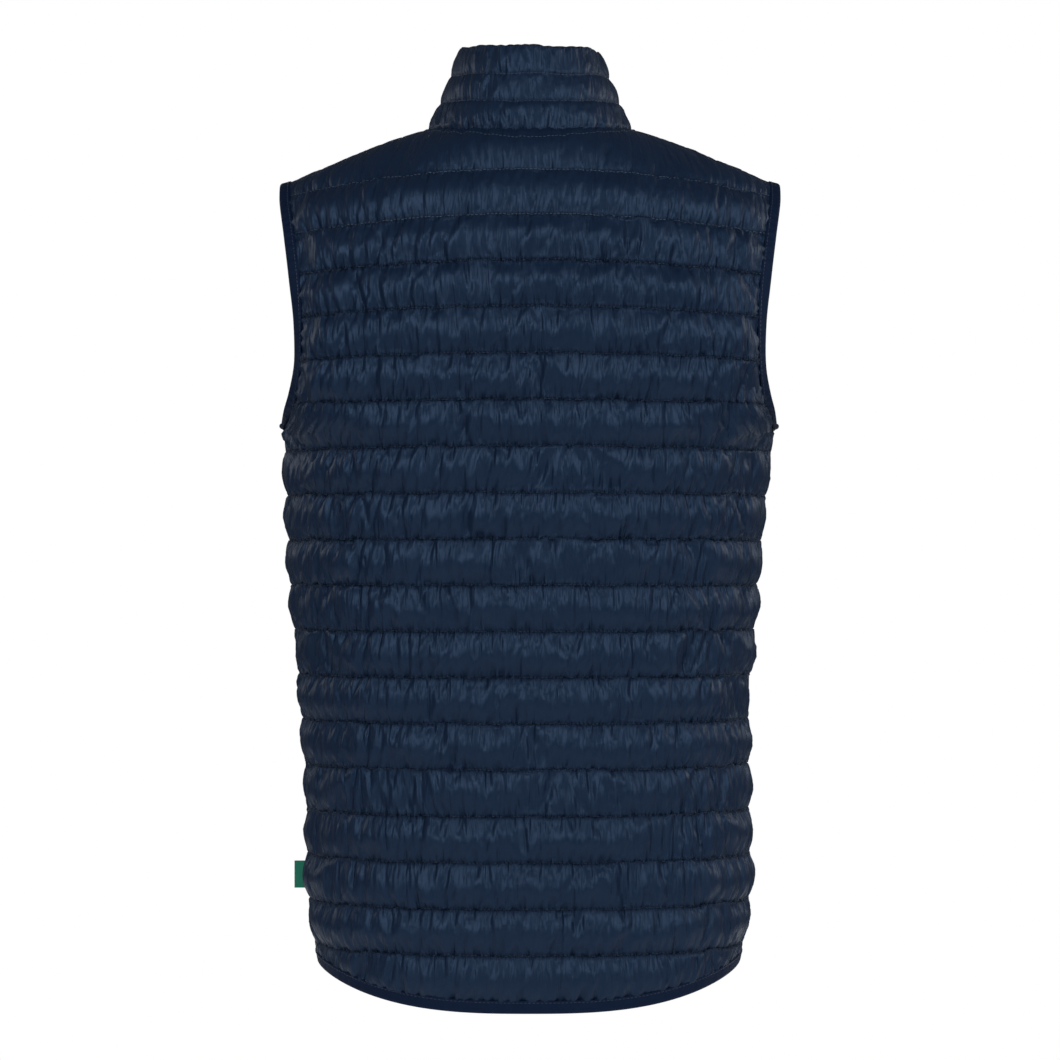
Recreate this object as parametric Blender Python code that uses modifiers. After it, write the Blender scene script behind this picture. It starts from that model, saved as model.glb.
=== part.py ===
# A padded, horizontally quilted vest with a stand collar and a front zip, filled out as worn.
# The back faces +Y, the front -Y, and the wearer's left is +X.
# The origin lies midway between the two side-neck points, where the shoulders carry the vest.
import math
from collections import namedtuple

import bmesh
import bpy
import numpy as np
from mathutils import Matrix, Vector

# Quilting: straight stitched lines at one pitch, drooping a little towards the armholes
LINE_TOP = -0.041
LINE_PITCH = 0.038
LINE_COUNT = 18
DROOP_TOP = 0.017
DROOP_FADE = 0.12

# Padded wall: thickness between the lines, share left at a stitch, share that lies outwards
PAD_THICK = 0.0100
STITCH_SHARE = 0.2
OUTWARD = 0.2

# Seams
SEAM_GAP = 0.0003
SIDE_SEAM_Y = -0.015
SIDE_INSET = 0.00028
SHOULDER_INSET = 0.0009
COLLAR_LIFT = 0.0020
SEAM_POINT_STEP = 0.002
ARMHOLE_GAP = 0.0008
LABEL_GAP = 0.0009

# Neck seam and collar
NECK_HALF_WIDTH = 0.084
NECK_CENTRE_Y = 0.002
NECK_BACK = 0.072
NECK_FRONT = 0.082
NECK_BACK_DROP = 0.005
NECK_FRONT_DROP = 0.079
NECK_FRONT_CURVE = 1.5
COLLAR_TOP_HALF_WIDTH = 0.0575
COLLAR_TOP_CENTRE_Y = -0.005
COLLAR_TOP_BACK = 0.064
COLLAR_TOP_FRONT = 0.069
COLLAR_TOP_Z = 0.069
COLLAR_TOP_BACK_DROP = 0.004
COLLAR_TOP_FRONT_DROP = 0.074
COLLAR_TOP_FRONT_CURVE = 1.6
COLLAR_CHANNELS = 3
COLLAR_COLUMNS = 24
COLLAR_EDGE_STEP = 0.03
COLLAR_TOP_PAD = 0.3

# Shoulder seam, hem and bindings
SHOULDER_TIP = (0.2055, 0.0, -0.044)
SHOULDER_CROWN = 0.002
SHOULDER_BEND_Y = 0.35
SHOULDER_BEND_Z = 0.85
HEM_BACK_Z = -0.723
HEM_SIDE_Z = -0.693
HEM_FRONT_Z = -0.703
HEM_CURVE = 3.0
LINE_CURVE = 2.0
ARMHOLE_BINDING_WIDTH = 0.0070
ARMHOLE_BINDING_THICK = 0.0042
HEM_BINDING_WIDTH = 0.0120
HEM_BINDING_THICK = 0.0034

# Front zip
FRONT_EDGE_X = 0.0085
TAPE_EDGE_X = 0.0033
TAPE_TUCK = 0.0060
TAPE_THICK = 0.0008
TAPE_DEPTH = 0.0017
CHAIN_HALF_WIDTH = 0.0026
CHAIN_THICK = 0.0024
SLIDER_BELOW_TOP = 0.010
SLIDER_LENGTH = 0.011
SLIDER_WIDTH = 0.0086
SLIDER_CORE = 0.0030
SLIDER_PLATE = 0.0013
POST_WIDTH = 0.0040
POST_LENGTH = 0.0030
CROWN_WIDTH = 0.0020
CROWN_BAR = 0.0009
CROWN_HOLE = (0.0034, 0.0026)
PULL_LENGTH = 0.026
PULL_WIDTH = 0.0064
PULL_THICK = 0.0012
PULL_WINDOW = (0.0034, 0.0036)
PULL_LIFT = 0.0013
BOX_SIZE = (0.0076, 0.0046, 0.0090)

# Side label
LABEL_SIZE = (0.0110, 0.0009, 0.0240)
LABEL_Z = -0.632

# Squareness of the body's sections
ROUND_POWER = 2.3
ROUND_FROM_Z = -0.12
ROUND_SPAN = 0.13
SECTION_POINTS = 240

# Underarm: height over which the edge's depth is evened out inside a panel, where that starts, and its reach in
EVEN_SPAN = 0.035
EVEN_STEPS = 41
EVEN_FROM_Z = -0.150
EVEN_FULL_Z = -0.210
EVEN_REACH = 0.40

# Centre lines of the wall, seen from the side
Centre = namedtuple("Centre", "height back front")
CENTRES = (
    Centre(0.000, 0.070, -0.045),
    Centre(-0.041, 0.094, -0.062),
    Centre(-0.079, 0.108, -0.080),
    Centre(-0.117, 0.116, -0.098),
    Centre(-0.155, 0.120, -0.111),
    Centre(-0.200, 0.1205, -0.121),
    Centre(-0.260, 0.118, -0.127),
    Centre(-0.350, 0.111, -0.125),
    Centre(-0.430, 0.105, -0.120),
    Centre(-0.500, 0.103, -0.117),
    Centre(-0.580, 0.105, -0.115),
    Centre(-0.650, 0.107, -0.113),
    Centre(-0.740, 0.103, -0.109),
)

# Side seams below the armholes: half width, and how far the whole section leans to +X
Side = namedtuple("Side", "height half_width sway")
SIDES = (
    Side(-0.200, 0.2100, 0.000),
    Side(-0.260, 0.2075, 0.001),
    Side(-0.310, 0.2025, 0.003),
    Side(-0.360, 0.1990, 0.005),
    Side(-0.430, 0.1938, 0.005),
    Side(-0.500, 0.1885, 0.004),
    Side(-0.570, 0.1872, 0.002),
    Side(-0.650, 0.1860, 0.001),
    Side(-0.690, 0.1810, 0.001),
    Side(-0.740, 0.1690, 0.001),
)

# Armhole edges of the panels, before their binding
Edge = namedtuple("Edge", "height across depth")


def edge_height(centre_height):
    """Height at which a quilting line meets the edge of its panel."""
    return centre_height - DROOP_TOP * math.exp((centre_height - LINE_TOP) / DROOP_FADE)


LINES = [LINE_TOP - LINE_PITCH * k for k in range(LINE_COUNT)]
LAST_ARMHOLE_LINE = 5
UNDERARM_ROW = LINES[LAST_ARMHOLE_LINE] - LINE_PITCH / 2
UNDERARM_Z = edge_height(UNDERARM_ROW)
UNDERARM_X = 0.2075

ARMHOLE_BACK = (
    Edge(SHOULDER_TIP[2], SHOULDER_TIP[0], SHOULDER_INSET),
    Edge(-0.058, 0.2045, 0.028),
    Edge(-0.091, 0.1990, 0.055),
    Edge(-0.126, 0.1940, 0.070),
    Edge(-0.162, 0.1905, 0.076),
    Edge(-0.198, 0.1905, 0.073),
    Edge(-0.2345, 0.1975, 0.050),
    Edge(-0.2470, 0.2025, 0.022),
    Edge(UNDERARM_Z, UNDERARM_X, SIDE_SEAM_Y + SIDE_INSET),
)
ARMHOLE_FRONT = (
    Edge(SHOULDER_TIP[2], SHOULDER_TIP[0], -SHOULDER_INSET),
    Edge(-0.058, 0.2025, -0.024),
    Edge(-0.091, 0.1950, -0.050),
    Edge(-0.126, 0.1860, -0.066),
    Edge(-0.162, 0.1800, -0.074),
    Edge(-0.198, 0.1800, -0.075),
    Edge(-0.2345, 0.1915, -0.060),
    Edge(-0.2470, 0.1995, -0.041),
    Edge(UNDERARM_Z, UNDERARM_X, SIDE_SEAM_Y - SIDE_INSET),
)

# Columns of a panel, as shares of its way round, with the padding each keeps
Column = namedtuple("Column", "share pad")
NECK_SHARE = 0.48
BACK_COLUMNS = (
    Column(0.00, 1.0), Column(0.16, 1.0), Column(0.32, 1.0), Column(NECK_SHARE, 1.0),
    Column(0.62, 1.0), Column(0.76, 1.0), Column(0.88, 1.0), Column(0.955, 0.6), Column(1.0, 0.0),
)
FRONT_COLUMNS = (
    Column(0.00, 0.0), Column(0.055, 0.0), Column(0.15, 1.0), Column(0.29, 1.0), Column(0.43, 1.0),
    Column(0.57, 1.0), Column(0.71, 1.0), Column(0.84, 1.0), Column(0.94, 0.6), Column(1.0, 0.0),
)

# Rows of a panel from the hem up: height at the centre, and the padding it keeps
Row = namedtuple("Row", "height pad")
HEM_ROWS = 2
EXTRA_ROW = Row(LINES[LAST_ARMHOLE_LINE] - LINE_PITCH / 4, 0.8)
NECK_ROWS = (Row(LINES[1] + 0.003, 0.2), Row(LINES[1] + 0.0095, 0.8), Row(LINES[0] - 0.0095, 0.8))
SHOULDER_STEPS = (0.35, 0.70, 1.0)
SHOULDER_PAD = 0.9
BACK_HEM_PAD = 0.9
FRONT_HEM_PAD = 0.7

# Colours (linear) with roughness and metallic values
Finish = namedtuple("Finish", "red green blue rough metal")
FINISHES = {
    "shell_fabric": Finish(0.0123, 0.0222, 0.0452, 0.45, 0.0),
    "binding": Finish(0.0075, 0.0130, 0.0330, 0.60, 0.0),
    "label": Finish(0.0060, 0.1150, 0.0700, 0.70, 0.0),
    "zip_tape": Finish(0.0080, 0.0130, 0.0290, 0.75, 0.0),
    "zip_metal": Finish(0.0300, 0.0320, 0.0380, 0.35, 0.8),
}


def clear_scene():
    """Start from an empty scene."""
    for thing in list(bpy.data.objects):
        bpy.data.objects.remove(thing, do_unlink=True)


def make_collection(name):
    """Add a collection to the scene."""
    collection = bpy.data.collections.new(name)
    bpy.context.scene.collection.children.link(collection)
    return collection


def make_material(name, finish):
    """Make a plain finish."""
    material = bpy.data.materials.new(name)
    material.use_nodes = True
    shader = material.node_tree.nodes["Principled BSDF"]
    shader.inputs["Base Color"].default_value = (finish.red, finish.green, finish.blue, 1.0)
    shader.inputs["Roughness"].default_value = finish.rough
    shader.inputs["Metallic"].default_value = finish.metal
    return material


def dense_curve(rows, steps=40):
    """Smooth curve through the rows of a table, as many close points, lowest first."""
    points = np.array(rows, dtype=float)
    if points[0, 0] > points[-1, 0]:
        points = points[::-1]
    chord = np.concatenate(([0.0], np.cumsum(np.linalg.norm(np.diff(points, axis=0), axis=1))))
    slope = np.gradient(points, chord, axis=0)
    at = np.linspace(0.0, chord[-1], steps * (len(points) - 1) + 1)
    k = np.clip(np.searchsorted(chord, at, side="right") - 1, 0, len(chord) - 2)
    span = (chord[k + 1] - chord[k])[:, None]
    t = (at - chord[k])[:, None] / span
    start = (1 + 2 * t) * (1 - t) ** 2 * points[k] + t * (1 - t) ** 2 * span * slope[k]
    end = t * t * (3 - 2 * t) * points[k + 1] - t * t * (1 - t) * span * slope[k + 1]
    return start + end


def read_curve(curve, height):
    """Values of a dense curve's other columns at a height."""
    return [float(np.interp(height, curve[:, 0], curve[:, c])) for c in range(1, curve.shape[1])]


CENTRE_CURVE = dense_curve(CENTRES)
SIDE_CURVE = dense_curve(SIDES)
ARMHOLE_CURVES = {"back": dense_curve(ARMHOLE_BACK), "front": dense_curve(ARMHOLE_FRONT)}


def sway(height):
    """How far the body leans to +X at a height."""
    return np.interp(height, SIDE_CURVE[:, 0], SIDE_CURVE[:, 2])


def panel_edge(face, height):
    """Outer edge of a panel at a height: on the armhole, or on the side seam below it."""
    if height >= UNDERARM_Z - 1e-6:
        across, depth = read_curve(ARMHOLE_CURVES[face], height)
        return np.array((across, depth, height))
    half_width = read_curve(SIDE_CURVE, height)[0]
    inset = SIDE_INSET if face == "back" else -SIDE_INSET
    return np.array((half_width, SIDE_SEAM_Y + inset, height))


def resample(curve, shares):
    """Points of a curve at shares of its length."""
    length = np.concatenate(([0.0], np.cumsum(np.linalg.norm(np.diff(curve, axis=0), axis=1))))
    at = np.array(shares) * length[-1]
    return np.stack([np.interp(at, length, curve[:, c]) for c in range(3)], axis=1)


def neck_point(angle):
    """Point of the neck seam, by its angle round from the centre back."""
    across = NECK_HALF_WIDTH * math.sin(angle)
    along = math.cos(angle)
    if along >= 0:
        return np.array((across, NECK_CENTRE_Y + NECK_BACK * along, -NECK_BACK_DROP * along ** 2))
    drop = NECK_FRONT_DROP * (-along) ** NECK_FRONT_CURVE
    return np.array((across, NECK_CENTRE_Y + NECK_FRONT * along, -drop))


def collar_top_point(angle):
    """Point of the collar's upper edge, by its angle round from the centre back."""
    across = COLLAR_TOP_HALF_WIDTH * math.sin(angle)
    along = math.cos(angle)
    if along >= 0:
        reach, drop = COLLAR_TOP_BACK, COLLAR_TOP_BACK_DROP * along ** 2
    else:
        reach, drop = COLLAR_TOP_FRONT, COLLAR_TOP_FRONT_DROP * (-along) ** COLLAR_TOP_FRONT_CURVE
    return np.array((across, COLLAR_TOP_CENTRE_Y + reach * along, COLLAR_TOP_Z - drop))


def smooth_step(value):
    """Value from 0 to 1 on a curve that starts and ends level."""
    t = np.clip(value, 0.0, 1.0)
    return t * t * (3 - 2 * t)


def even_depth(face, edge):
    """Depth that a panel's edge would have if the armhole did not turn in so fast at its foot."""
    share = smooth_step((EVEN_FROM_Z - edge[2]) / (EVEN_FROM_Z - EVEN_FULL_Z))
    steps = np.linspace(-2.0, 2.0, EVEN_STEPS)
    depths = [panel_edge(face, edge[2] + EVEN_SPAN * step)[1] for step in steps]
    return edge[1] + (np.average(depths, weights=np.exp(-2 * steps ** 2)) - edge[1]) * share


def section(face, height, edge, start_x, curve_power):
    """Way round a panel at one height, from the centre line or the front edge to the outer edge."""
    centre_y = read_curve(CENTRE_CURVE, height)[0 if face == "back" else 1]
    fullness = 1.0 + (ROUND_POWER - 1.0) * smooth_step((ROUND_FROM_Z - edge[2]) / ROUND_SPAN)
    first = math.asin(start_x / edge[0])
    u = np.sin(np.linspace(first, math.pi / 2, SECTION_POINTS))
    profile = np.maximum(1.0 - u ** ROUND_POWER, 0.0) ** (1.0 / fullness)
    across = edge[0] * u
    even = even_depth(face, edge)
    turn_in = (edge[1] - even) * smooth_step((u - 1 + EVEN_REACH) / EVEN_REACH)
    depth = even + (centre_y - even) * profile + turn_in
    rise = height + (edge[2] - height) * u ** curve_power
    return np.stack((across, depth, rise), axis=1)


def panel_rows():
    """Rows from the last quilting line up to the first one."""
    rows = []
    for k in range(LINE_COUNT - 1, 0, -1):
        rows.append(Row(LINES[k], 0.0))
        rows.append(Row(LINES[k] + LINE_PITCH / 2, 1.0))
        if k == LAST_ARMHOLE_LINE + 1:
            rows.append(EXTRA_ROW)
    rows.append(Row(LINES[0], 0.0))
    return rows


def shoulder_line(shares):
    """Points of the shoulder seam from the side-neck point to the tip."""
    start, end = neck_point(math.pi / 2), np.array(SHOULDER_TIP)
    points = np.array([start + (end - start) * share for share in shares])
    points[:, 2] += SHOULDER_CROWN * np.sin(math.pi * np.array(shares))
    return points


def over_shoulder(low, top, step):
    """Row between the first quilting line and the shoulder, on a rounded way up."""
    bend = np.array(low)
    bend[:, 0] = (low[:, 0] + top[:, 0]) / 2
    bend[:, 1] = low[:, 1] + SHOULDER_BEND_Y * (top[:, 1] - low[:, 1])
    bend[:, 2] = low[:, 2] + SHOULDER_BEND_Z * (top[:, 2] - low[:, 2])
    return (1 - step) ** 2 * low + 2 * step * (1 - step) * bend + step ** 2 * top


def back_half():
    """Left half grid of the back panel, from the centre back out: points and padding."""
    shares = [column.share for column in BACK_COLUMNS]
    hem_edge = panel_edge("back", HEM_SIDE_Z)
    hem = resample(section("back", HEM_BACK_Z, hem_edge, 0.0, HEM_CURVE), shares)
    last_line = resample(section("back", LINES[-1], panel_edge("back", LINES[-1]), 0.0, LINE_CURVE), shares)
    grid = [hem, (hem + last_line) / 2]
    pads = [0.0, BACK_HEM_PAD]
    for row in panel_rows():
        edge = panel_edge("back", edge_height(row.height))
        grid.append(resample(section("back", row.height, edge, 0.0, LINE_CURVE), shares))
        pads.append(row.pad)
    low = grid[-1]
    neck_count = shares.index(NECK_SHARE) + 1
    neck = [neck_point(share / NECK_SHARE * math.pi / 2) for share in shares[:neck_count]]
    outer = [(share - NECK_SHARE) / (1 - NECK_SHARE) for share in shares[neck_count:]]
    top = np.concatenate((np.array(neck), shoulder_line(outer)))
    top[neck_count - 1:, 1] += SHOULDER_INSET
    for step in SHOULDER_STEPS:
        grid.append(over_shoulder(low, top, step))
        pads.append(0.0 if step == 1.0 else SHOULDER_PAD)
    return np.array(grid), np.outer(pads, [column.pad for column in BACK_COLUMNS])


def back_grid():
    """Whole grid of the back panel, from the wearer's right to the left."""
    half, pads = back_half()
    mirrored = half[:, :0:-1] * np.array((-1.0, 1.0, 1.0))
    points = np.concatenate((mirrored, half), axis=1)
    points[:, :, 0] += sway(points[:, :, 2])
    return points, np.concatenate((pads[:, :0:-1], pads), axis=1)


def front_start(height):
    """Inner edge of a front at a height: beside the zip, or on the neck seam above it."""
    if height <= -NECK_FRONT_DROP:
        return None
    along = (-height / NECK_FRONT_DROP) ** (1.0 / NECK_FRONT_CURVE)
    return neck_point(math.pi - math.acos(along))


def front_grid(side):
    """Grid of one front from the zip out: points and padding. Side is 1 for the left, -1 for the right."""
    shares = [column.share for column in FRONT_COLUMNS]
    hem_edge = panel_edge("front", HEM_SIDE_Z)
    hem = resample(section("front", HEM_FRONT_Z, hem_edge, FRONT_EDGE_X, LINE_CURVE), shares)
    last_edge = panel_edge("front", LINES[-1])
    last_line = resample(section("front", LINES[-1], last_edge, FRONT_EDGE_X, LINE_CURVE), shares)
    grid = [hem, (hem + last_line) / 2]
    pads = [0.0, FRONT_HEM_PAD]
    for row in sorted(panel_rows() + list(NECK_ROWS)):
        edge = panel_edge("front", edge_height(row.height))
        start = front_start(row.height)
        start_x = FRONT_EDGE_X if start is None else start[0]
        points = resample(section("front", row.height, edge, start_x, LINE_CURVE), shares)
        if start is not None:
            points += (start - points[0]) * (1 - np.array(shares)[:, None])
        grid.append(points)
        pads.append(row.pad)
    low = grid[-1]
    top = shoulder_line(shares)
    top[:, 1] -= SHOULDER_INSET
    for step in SHOULDER_STEPS:
        points = over_shoulder(low, top, step)
        if step < 1.0:
            neck = front_start(LINE_TOP * (1 - step))
            points += (neck - points[0]) * (1 - np.array(shares)[:, None]) ** 2
        grid.append(points)
        pads.append(0.0 if step == 1.0 else SHOULDER_PAD)
    points = np.array(grid) * np.array((side, 1.0, 1.0))
    points[:, :, 0] += sway(points[:, :, 2])
    return points, np.outer(pads, [column.pad for column in FRONT_COLUMNS])


def collar_grid():
    """Grid of the collar from the right front edge round to the left one: points and padding."""
    rows = []
    pads = []
    steps = 2 * COLLAR_CHANNELS
    turns = np.linspace(-1.0, 1.0, COLLAR_COLUMNS + 1)
    turns[1] -= COLLAR_EDGE_STEP
    turns[-2] += COLLAR_EDGE_STEP
    for k in range(steps + 1):
        share = k / steps
        half_width = NECK_HALF_WIDTH + (COLLAR_TOP_HALF_WIDTH - NECK_HALF_WIDTH) * share
        last_angle = math.pi - math.asin(FRONT_EDGE_X / half_width)
        row = []
        for turn in turns:
            base = neck_point(turn * last_angle)
            top = collar_top_point(turn * last_angle)
            lift = COLLAR_LIFT / np.linalg.norm(top - base)
            row.append(base + (top - base) * (lift + (1 - lift) * share))
        rows.append(row)
        pads.append(COLLAR_TOP_PAD if k == steps else float(k % 2))
    across = np.ones(COLLAR_COLUMNS + 1)
    across[[0, 1, -2, -1]] = 0.0
    return np.array(rows), np.outer(pads, across)


def grid_normals(points):
    """Unit normals of a grid of points, by differences between its neighbours."""
    along_rows = np.gradient(points, axis=1)
    along_columns = np.gradient(points, axis=0)
    normals = np.cross(along_rows, along_columns)
    return normals / np.linalg.norm(normals, axis=2, keepdims=True)


def add_object(name, bm, material, collection):
    """Turn a mesh under construction into a finished object."""
    mesh = bpy.data.meshes.new(name)
    bm.to_mesh(mesh)
    bm.free()
    mesh.materials.append(material)
    thing = bpy.data.objects.new(name, mesh)
    collection.objects.link(thing)
    return thing


def make_sheet(name, points, outward, material, collection):
    """Open sheet through a grid of points, with its faces towards the given direction."""
    rows, columns = points.shape[:2]
    bm = bmesh.new()
    bmesh.ops.create_grid(bm, x_segments=columns - 1, y_segments=rows - 1, size=1.0)
    for vert in bm.verts:
        column = round((vert.co.x + 1.0) / 2.0 * (columns - 1))
        row = round((vert.co.y + 1.0) / 2.0 * (rows - 1))
        vert.co = Vector(points[row, column])
        vert.index = row * columns + column
    bm.verts.sort()
    bm.normal_update()
    middle = min(bm.faces, key=lambda face: (face.calc_center_median() - Vector(outward[0])).length)
    if middle.normal.dot(Vector(outward[1])) < 0:
        bmesh.ops.reverse_faces(bm, faces=bm.faces[:])
    return add_object(name, bm, material, collection)


def thicken(thing, thickness, offset, pads=None):
    """Give a sheet its wall, thinner where its padding is pinched."""
    wall = thing.modifiers.new("wall", "SOLIDIFY")
    wall.thickness = thickness
    wall.offset = offset
    if pads is None:
        return
    group = thing.vertex_groups.new(name="padding")
    for index, pad in enumerate(np.ravel(pads)):
        group.add([index], float(pad), "REPLACE")
    wall.vertex_group = "padding"
    wall.thickness_vertex_group = STITCH_SHARE


def make_padded(name, grid, outward, material, collection):
    """Quilted panel: a sheet with a padded wall."""
    points, pads = grid
    thing = make_sheet(name, points, outward, material, collection)
    thicken(thing, PAD_THICK, OUTWARD, pads)
    return thing


def edge_directions(edge, inner, normals):
    """Directions out of a panel along its edge, square to the edge and to its normals."""
    tangents = np.gradient(edge, axis=0)
    out = np.cross(tangents, normals)
    out *= np.sign(np.sum(out * (edge - inner), axis=1))[:, None]
    return out / np.linalg.norm(out, axis=1, keepdims=True)


def armhole_stretch(points, edge_at, inner_at):
    """Armhole edge of one panel from the underarm up, with the directions out of the panel."""
    heights = np.array([row.height for row in panel_rows()])
    first = HEM_ROWS + int(np.argmin(np.abs(heights - UNDERARM_ROW)))
    edge = points[first:, edge_at]
    normals = grid_normals(points)[first:, edge_at]
    return edge, edge_directions(edge, points[first:, inner_at], normals)


def armhole_binding(name, back, front, side, material, collection):
    """Band of elastic tape along the whole armhole edge."""
    back_edge, back_out = armhole_stretch(back, *((-1, -2) if side > 0 else (0, 1)))
    front_edge, front_out = armhole_stretch(front, -1, -2)
    edge = np.concatenate((back_edge, front_edge[-2:0:-1]))
    out = np.concatenate((back_out, front_out[-2:0:-1]))
    for at_loop, at_front in ((0, 0), (len(back_edge) - 1, -1)):
        edge[at_loop] = (edge[at_loop] + front_edge[at_front]) / 2
        out[at_loop] = out[at_loop] + front_out[at_front]
    out /= np.linalg.norm(out, axis=1, keepdims=True)
    bm = bmesh.new()
    bmesh.ops.create_cone(bm, cap_ends=False, segments=len(edge), radius1=1.0, radius2=1.0, depth=1.0)
    for vert in bm.verts:
        turn = math.atan2(vert.co.y, vert.co.x) / (2 * math.pi) % 1.0
        station = round(turn * len(edge)) % len(edge)
        reach = ARMHOLE_GAP if vert.co.z < 0 else ARMHOLE_BINDING_WIDTH
        vert.co = Vector(edge[station] + out[station] * reach)
    bmesh.ops.recalc_face_normals(bm, faces=bm.faces[:])
    thing = add_object(name, bm, material, collection)
    thicken(thing, ARMHOLE_BINDING_THICK, 0.0)
    return thing


def hem_binding(name, back, left, right, material, collection):
    """Band of elastic tape along the hem, from the left front edge round to the right one."""
    stretches = []
    for points in (left, back[:, ::-1], right[:, ::-1]):
        normals = grid_normals(points)[0]
        stretches.append((points[0], edge_directions(points[0], points[1], normals)))
    edge = np.concatenate([stretch[0] for stretch in stretches])
    out = np.concatenate([stretch[1] for stretch in stretches])
    keep = np.concatenate(([True], np.linalg.norm(np.diff(edge, axis=0), axis=1) > SEAM_POINT_STEP))
    edge, out = edge[keep], out[keep]
    strip = np.stack((edge + out * SEAM_GAP, edge + out * HEM_BINDING_WIDTH))
    middle = strip[0, len(edge) // 2]
    thing = make_sheet(name, strip, (middle, (0.0, 1.0, 0.0)), material, collection)
    thicken(thing, HEM_BINDING_THICK, 0.0)
    return thing


def zip_path(front, collar, side):
    """Zip tape beside a front edge: edge points, points tucked behind the panel, inward normals."""
    body_rows = LINE_COUNT * 2
    columns = (0, 1) if side < 0 else (-1, -2)
    parts = []
    for points, at in ((front[:body_rows], (0, 1)), (collar, columns)):
        normals = grid_normals(points)
        inward = normals * np.sign(normals[:, :, 1:2])
        parts.append([points[:, at[0]], points[:, at[1]], inward[:, at[0]], inward[:, at[1]]])
    return [np.concatenate(pair) for pair in zip(*parts)]


def zip_tape(name, front, collar, side, material, collection):
    """Zip tape on the inside of one front and of the collar above it."""
    edge, inner, edge_in, inner_in = zip_path(front, collar, side)
    strip_way = inner - edge
    strip_way /= np.linalg.norm(strip_way, axis=1, keepdims=True)
    behind_edge = edge + edge_in * TAPE_DEPTH
    tucked = edge + strip_way * TAPE_TUCK + (edge_in + inner_in) / 2 * TAPE_DEPTH
    middle_edge = behind_edge.copy()
    middle_edge[:, 0] += side * (TAPE_EDGE_X - FRONT_EDGE_X)
    strip = np.stack((middle_edge, behind_edge, tucked))
    centre = strip[1, len(edge) // 2]
    thing = make_sheet(name, strip, (centre, (0.0, -1.0, 0.0)), material, collection)
    thicken(thing, TAPE_THICK, 0.0)
    return middle_edge


def zip_chain(name, path, material, collection):
    """Closed rows of zip teeth, as one plain bar between the tapes."""
    ends = [path + np.array((x, 0.0, 0.0)) for x in (-CHAIN_HALF_WIDTH, CHAIN_HALF_WIDTH)]
    strip = np.stack(ends)
    thing = make_sheet(name, strip, (strip[0, len(path) // 2], (0.0, -1.0, 0.0)), material, collection)
    thicken(thing, CHAIN_THICK, 0.0)
    return thing


def make_block(name, size, centre, placing, material, collection):
    """Box with its size and centre given in the slider's own axes."""
    bm = bmesh.new()
    bmesh.ops.create_cube(bm, size=1.0)
    for vert in bm.verts:
        vert.co = Vector([vert.co[a] * size[a] + centre[a] for a in range(3)])
    thing = add_object(name, bm, material, collection)
    thing.matrix_world = placing
    return thing


def flat_outline(name, outlines, half_thickness, placing, material, collection):
    """Closed mesh of a flat outline with its holes, drawn in the curve's own XY plane."""
    curve = bpy.data.curves.new(name, "CURVE")
    curve.dimensions = "2D"
    curve.fill_mode = "BOTH"
    curve.extrude = half_thickness
    for outline in outlines:
        spline = curve.splines.new("POLY")
        spline.points.add(len(outline) - 1)
        for point, (x, y) in zip(spline.points, outline):
            point.co = (x, y, 0.0, 1.0)
        spline.use_cyclic_u = True
    drawn = bpy.data.objects.new(name + "_outline", curve)
    collection.objects.link(drawn)
    drawn.matrix_world = placing
    bpy.context.view_layer.update()
    mesh = bpy.data.meshes.new_from_object(drawn.evaluated_get(bpy.context.evaluated_depsgraph_get()))
    bpy.data.objects.remove(drawn, do_unlink=True)
    bm = bmesh.new()
    bm.from_mesh(mesh)
    bmesh.ops.remove_doubles(bm, verts=bm.verts[:], dist=1e-6)
    bmesh.ops.recalc_face_normals(bm, faces=bm.faces[:])
    thing = add_object(name, bm, material, collection)
    thing.matrix_world = placing
    return thing


def rectangle(x_low, x_high, y_low, y_high):
    """Corners of a rectangle."""
    return [(x_low, y_low), (x_high, y_low), (x_high, y_high), (x_low, y_high)]


def rounded_tongue(half_width, top, bottom, segments=6):
    """Outline of a pull tab: square at the top, round at the foot."""
    foot = []
    for k in range(segments + 1):
        angle = math.pi + math.pi * k / segments
        foot.append((half_width * math.cos(angle), bottom + half_width + half_width * math.sin(angle)))
    return [(half_width, top), (-half_width, top)] + foot


def slider_placing(path):
    """Slider's own axes: X across, Y towards the wearer, Z up along the zip."""
    length = np.concatenate(([0.0], np.cumsum(np.linalg.norm(np.diff(path, axis=0), axis=1))))
    at = length[-1] - SLIDER_BELOW_TOP
    centre = Vector([float(np.interp(at, length, path[:, c])) for c in range(3)])
    up = Vector(path[-1] - path[-2]).normalized()
    across = Vector((1.0, 0.0, 0.0))
    inward = up.cross(across)
    turn = Matrix((across, inward, up)).transposed().to_4x4()
    return Matrix.Translation(centre) @ turn


def join_blocks(base, others):
    """Weld further blocks to a base block."""
    for other in others:
        other.hide_render = True
        other.display_type = "WIRE"
        weld = base.modifiers.new("weld", "BOOLEAN")
        weld.operation = "UNION"
        weld.solver = "EXACT"
        weld.object = other


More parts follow.
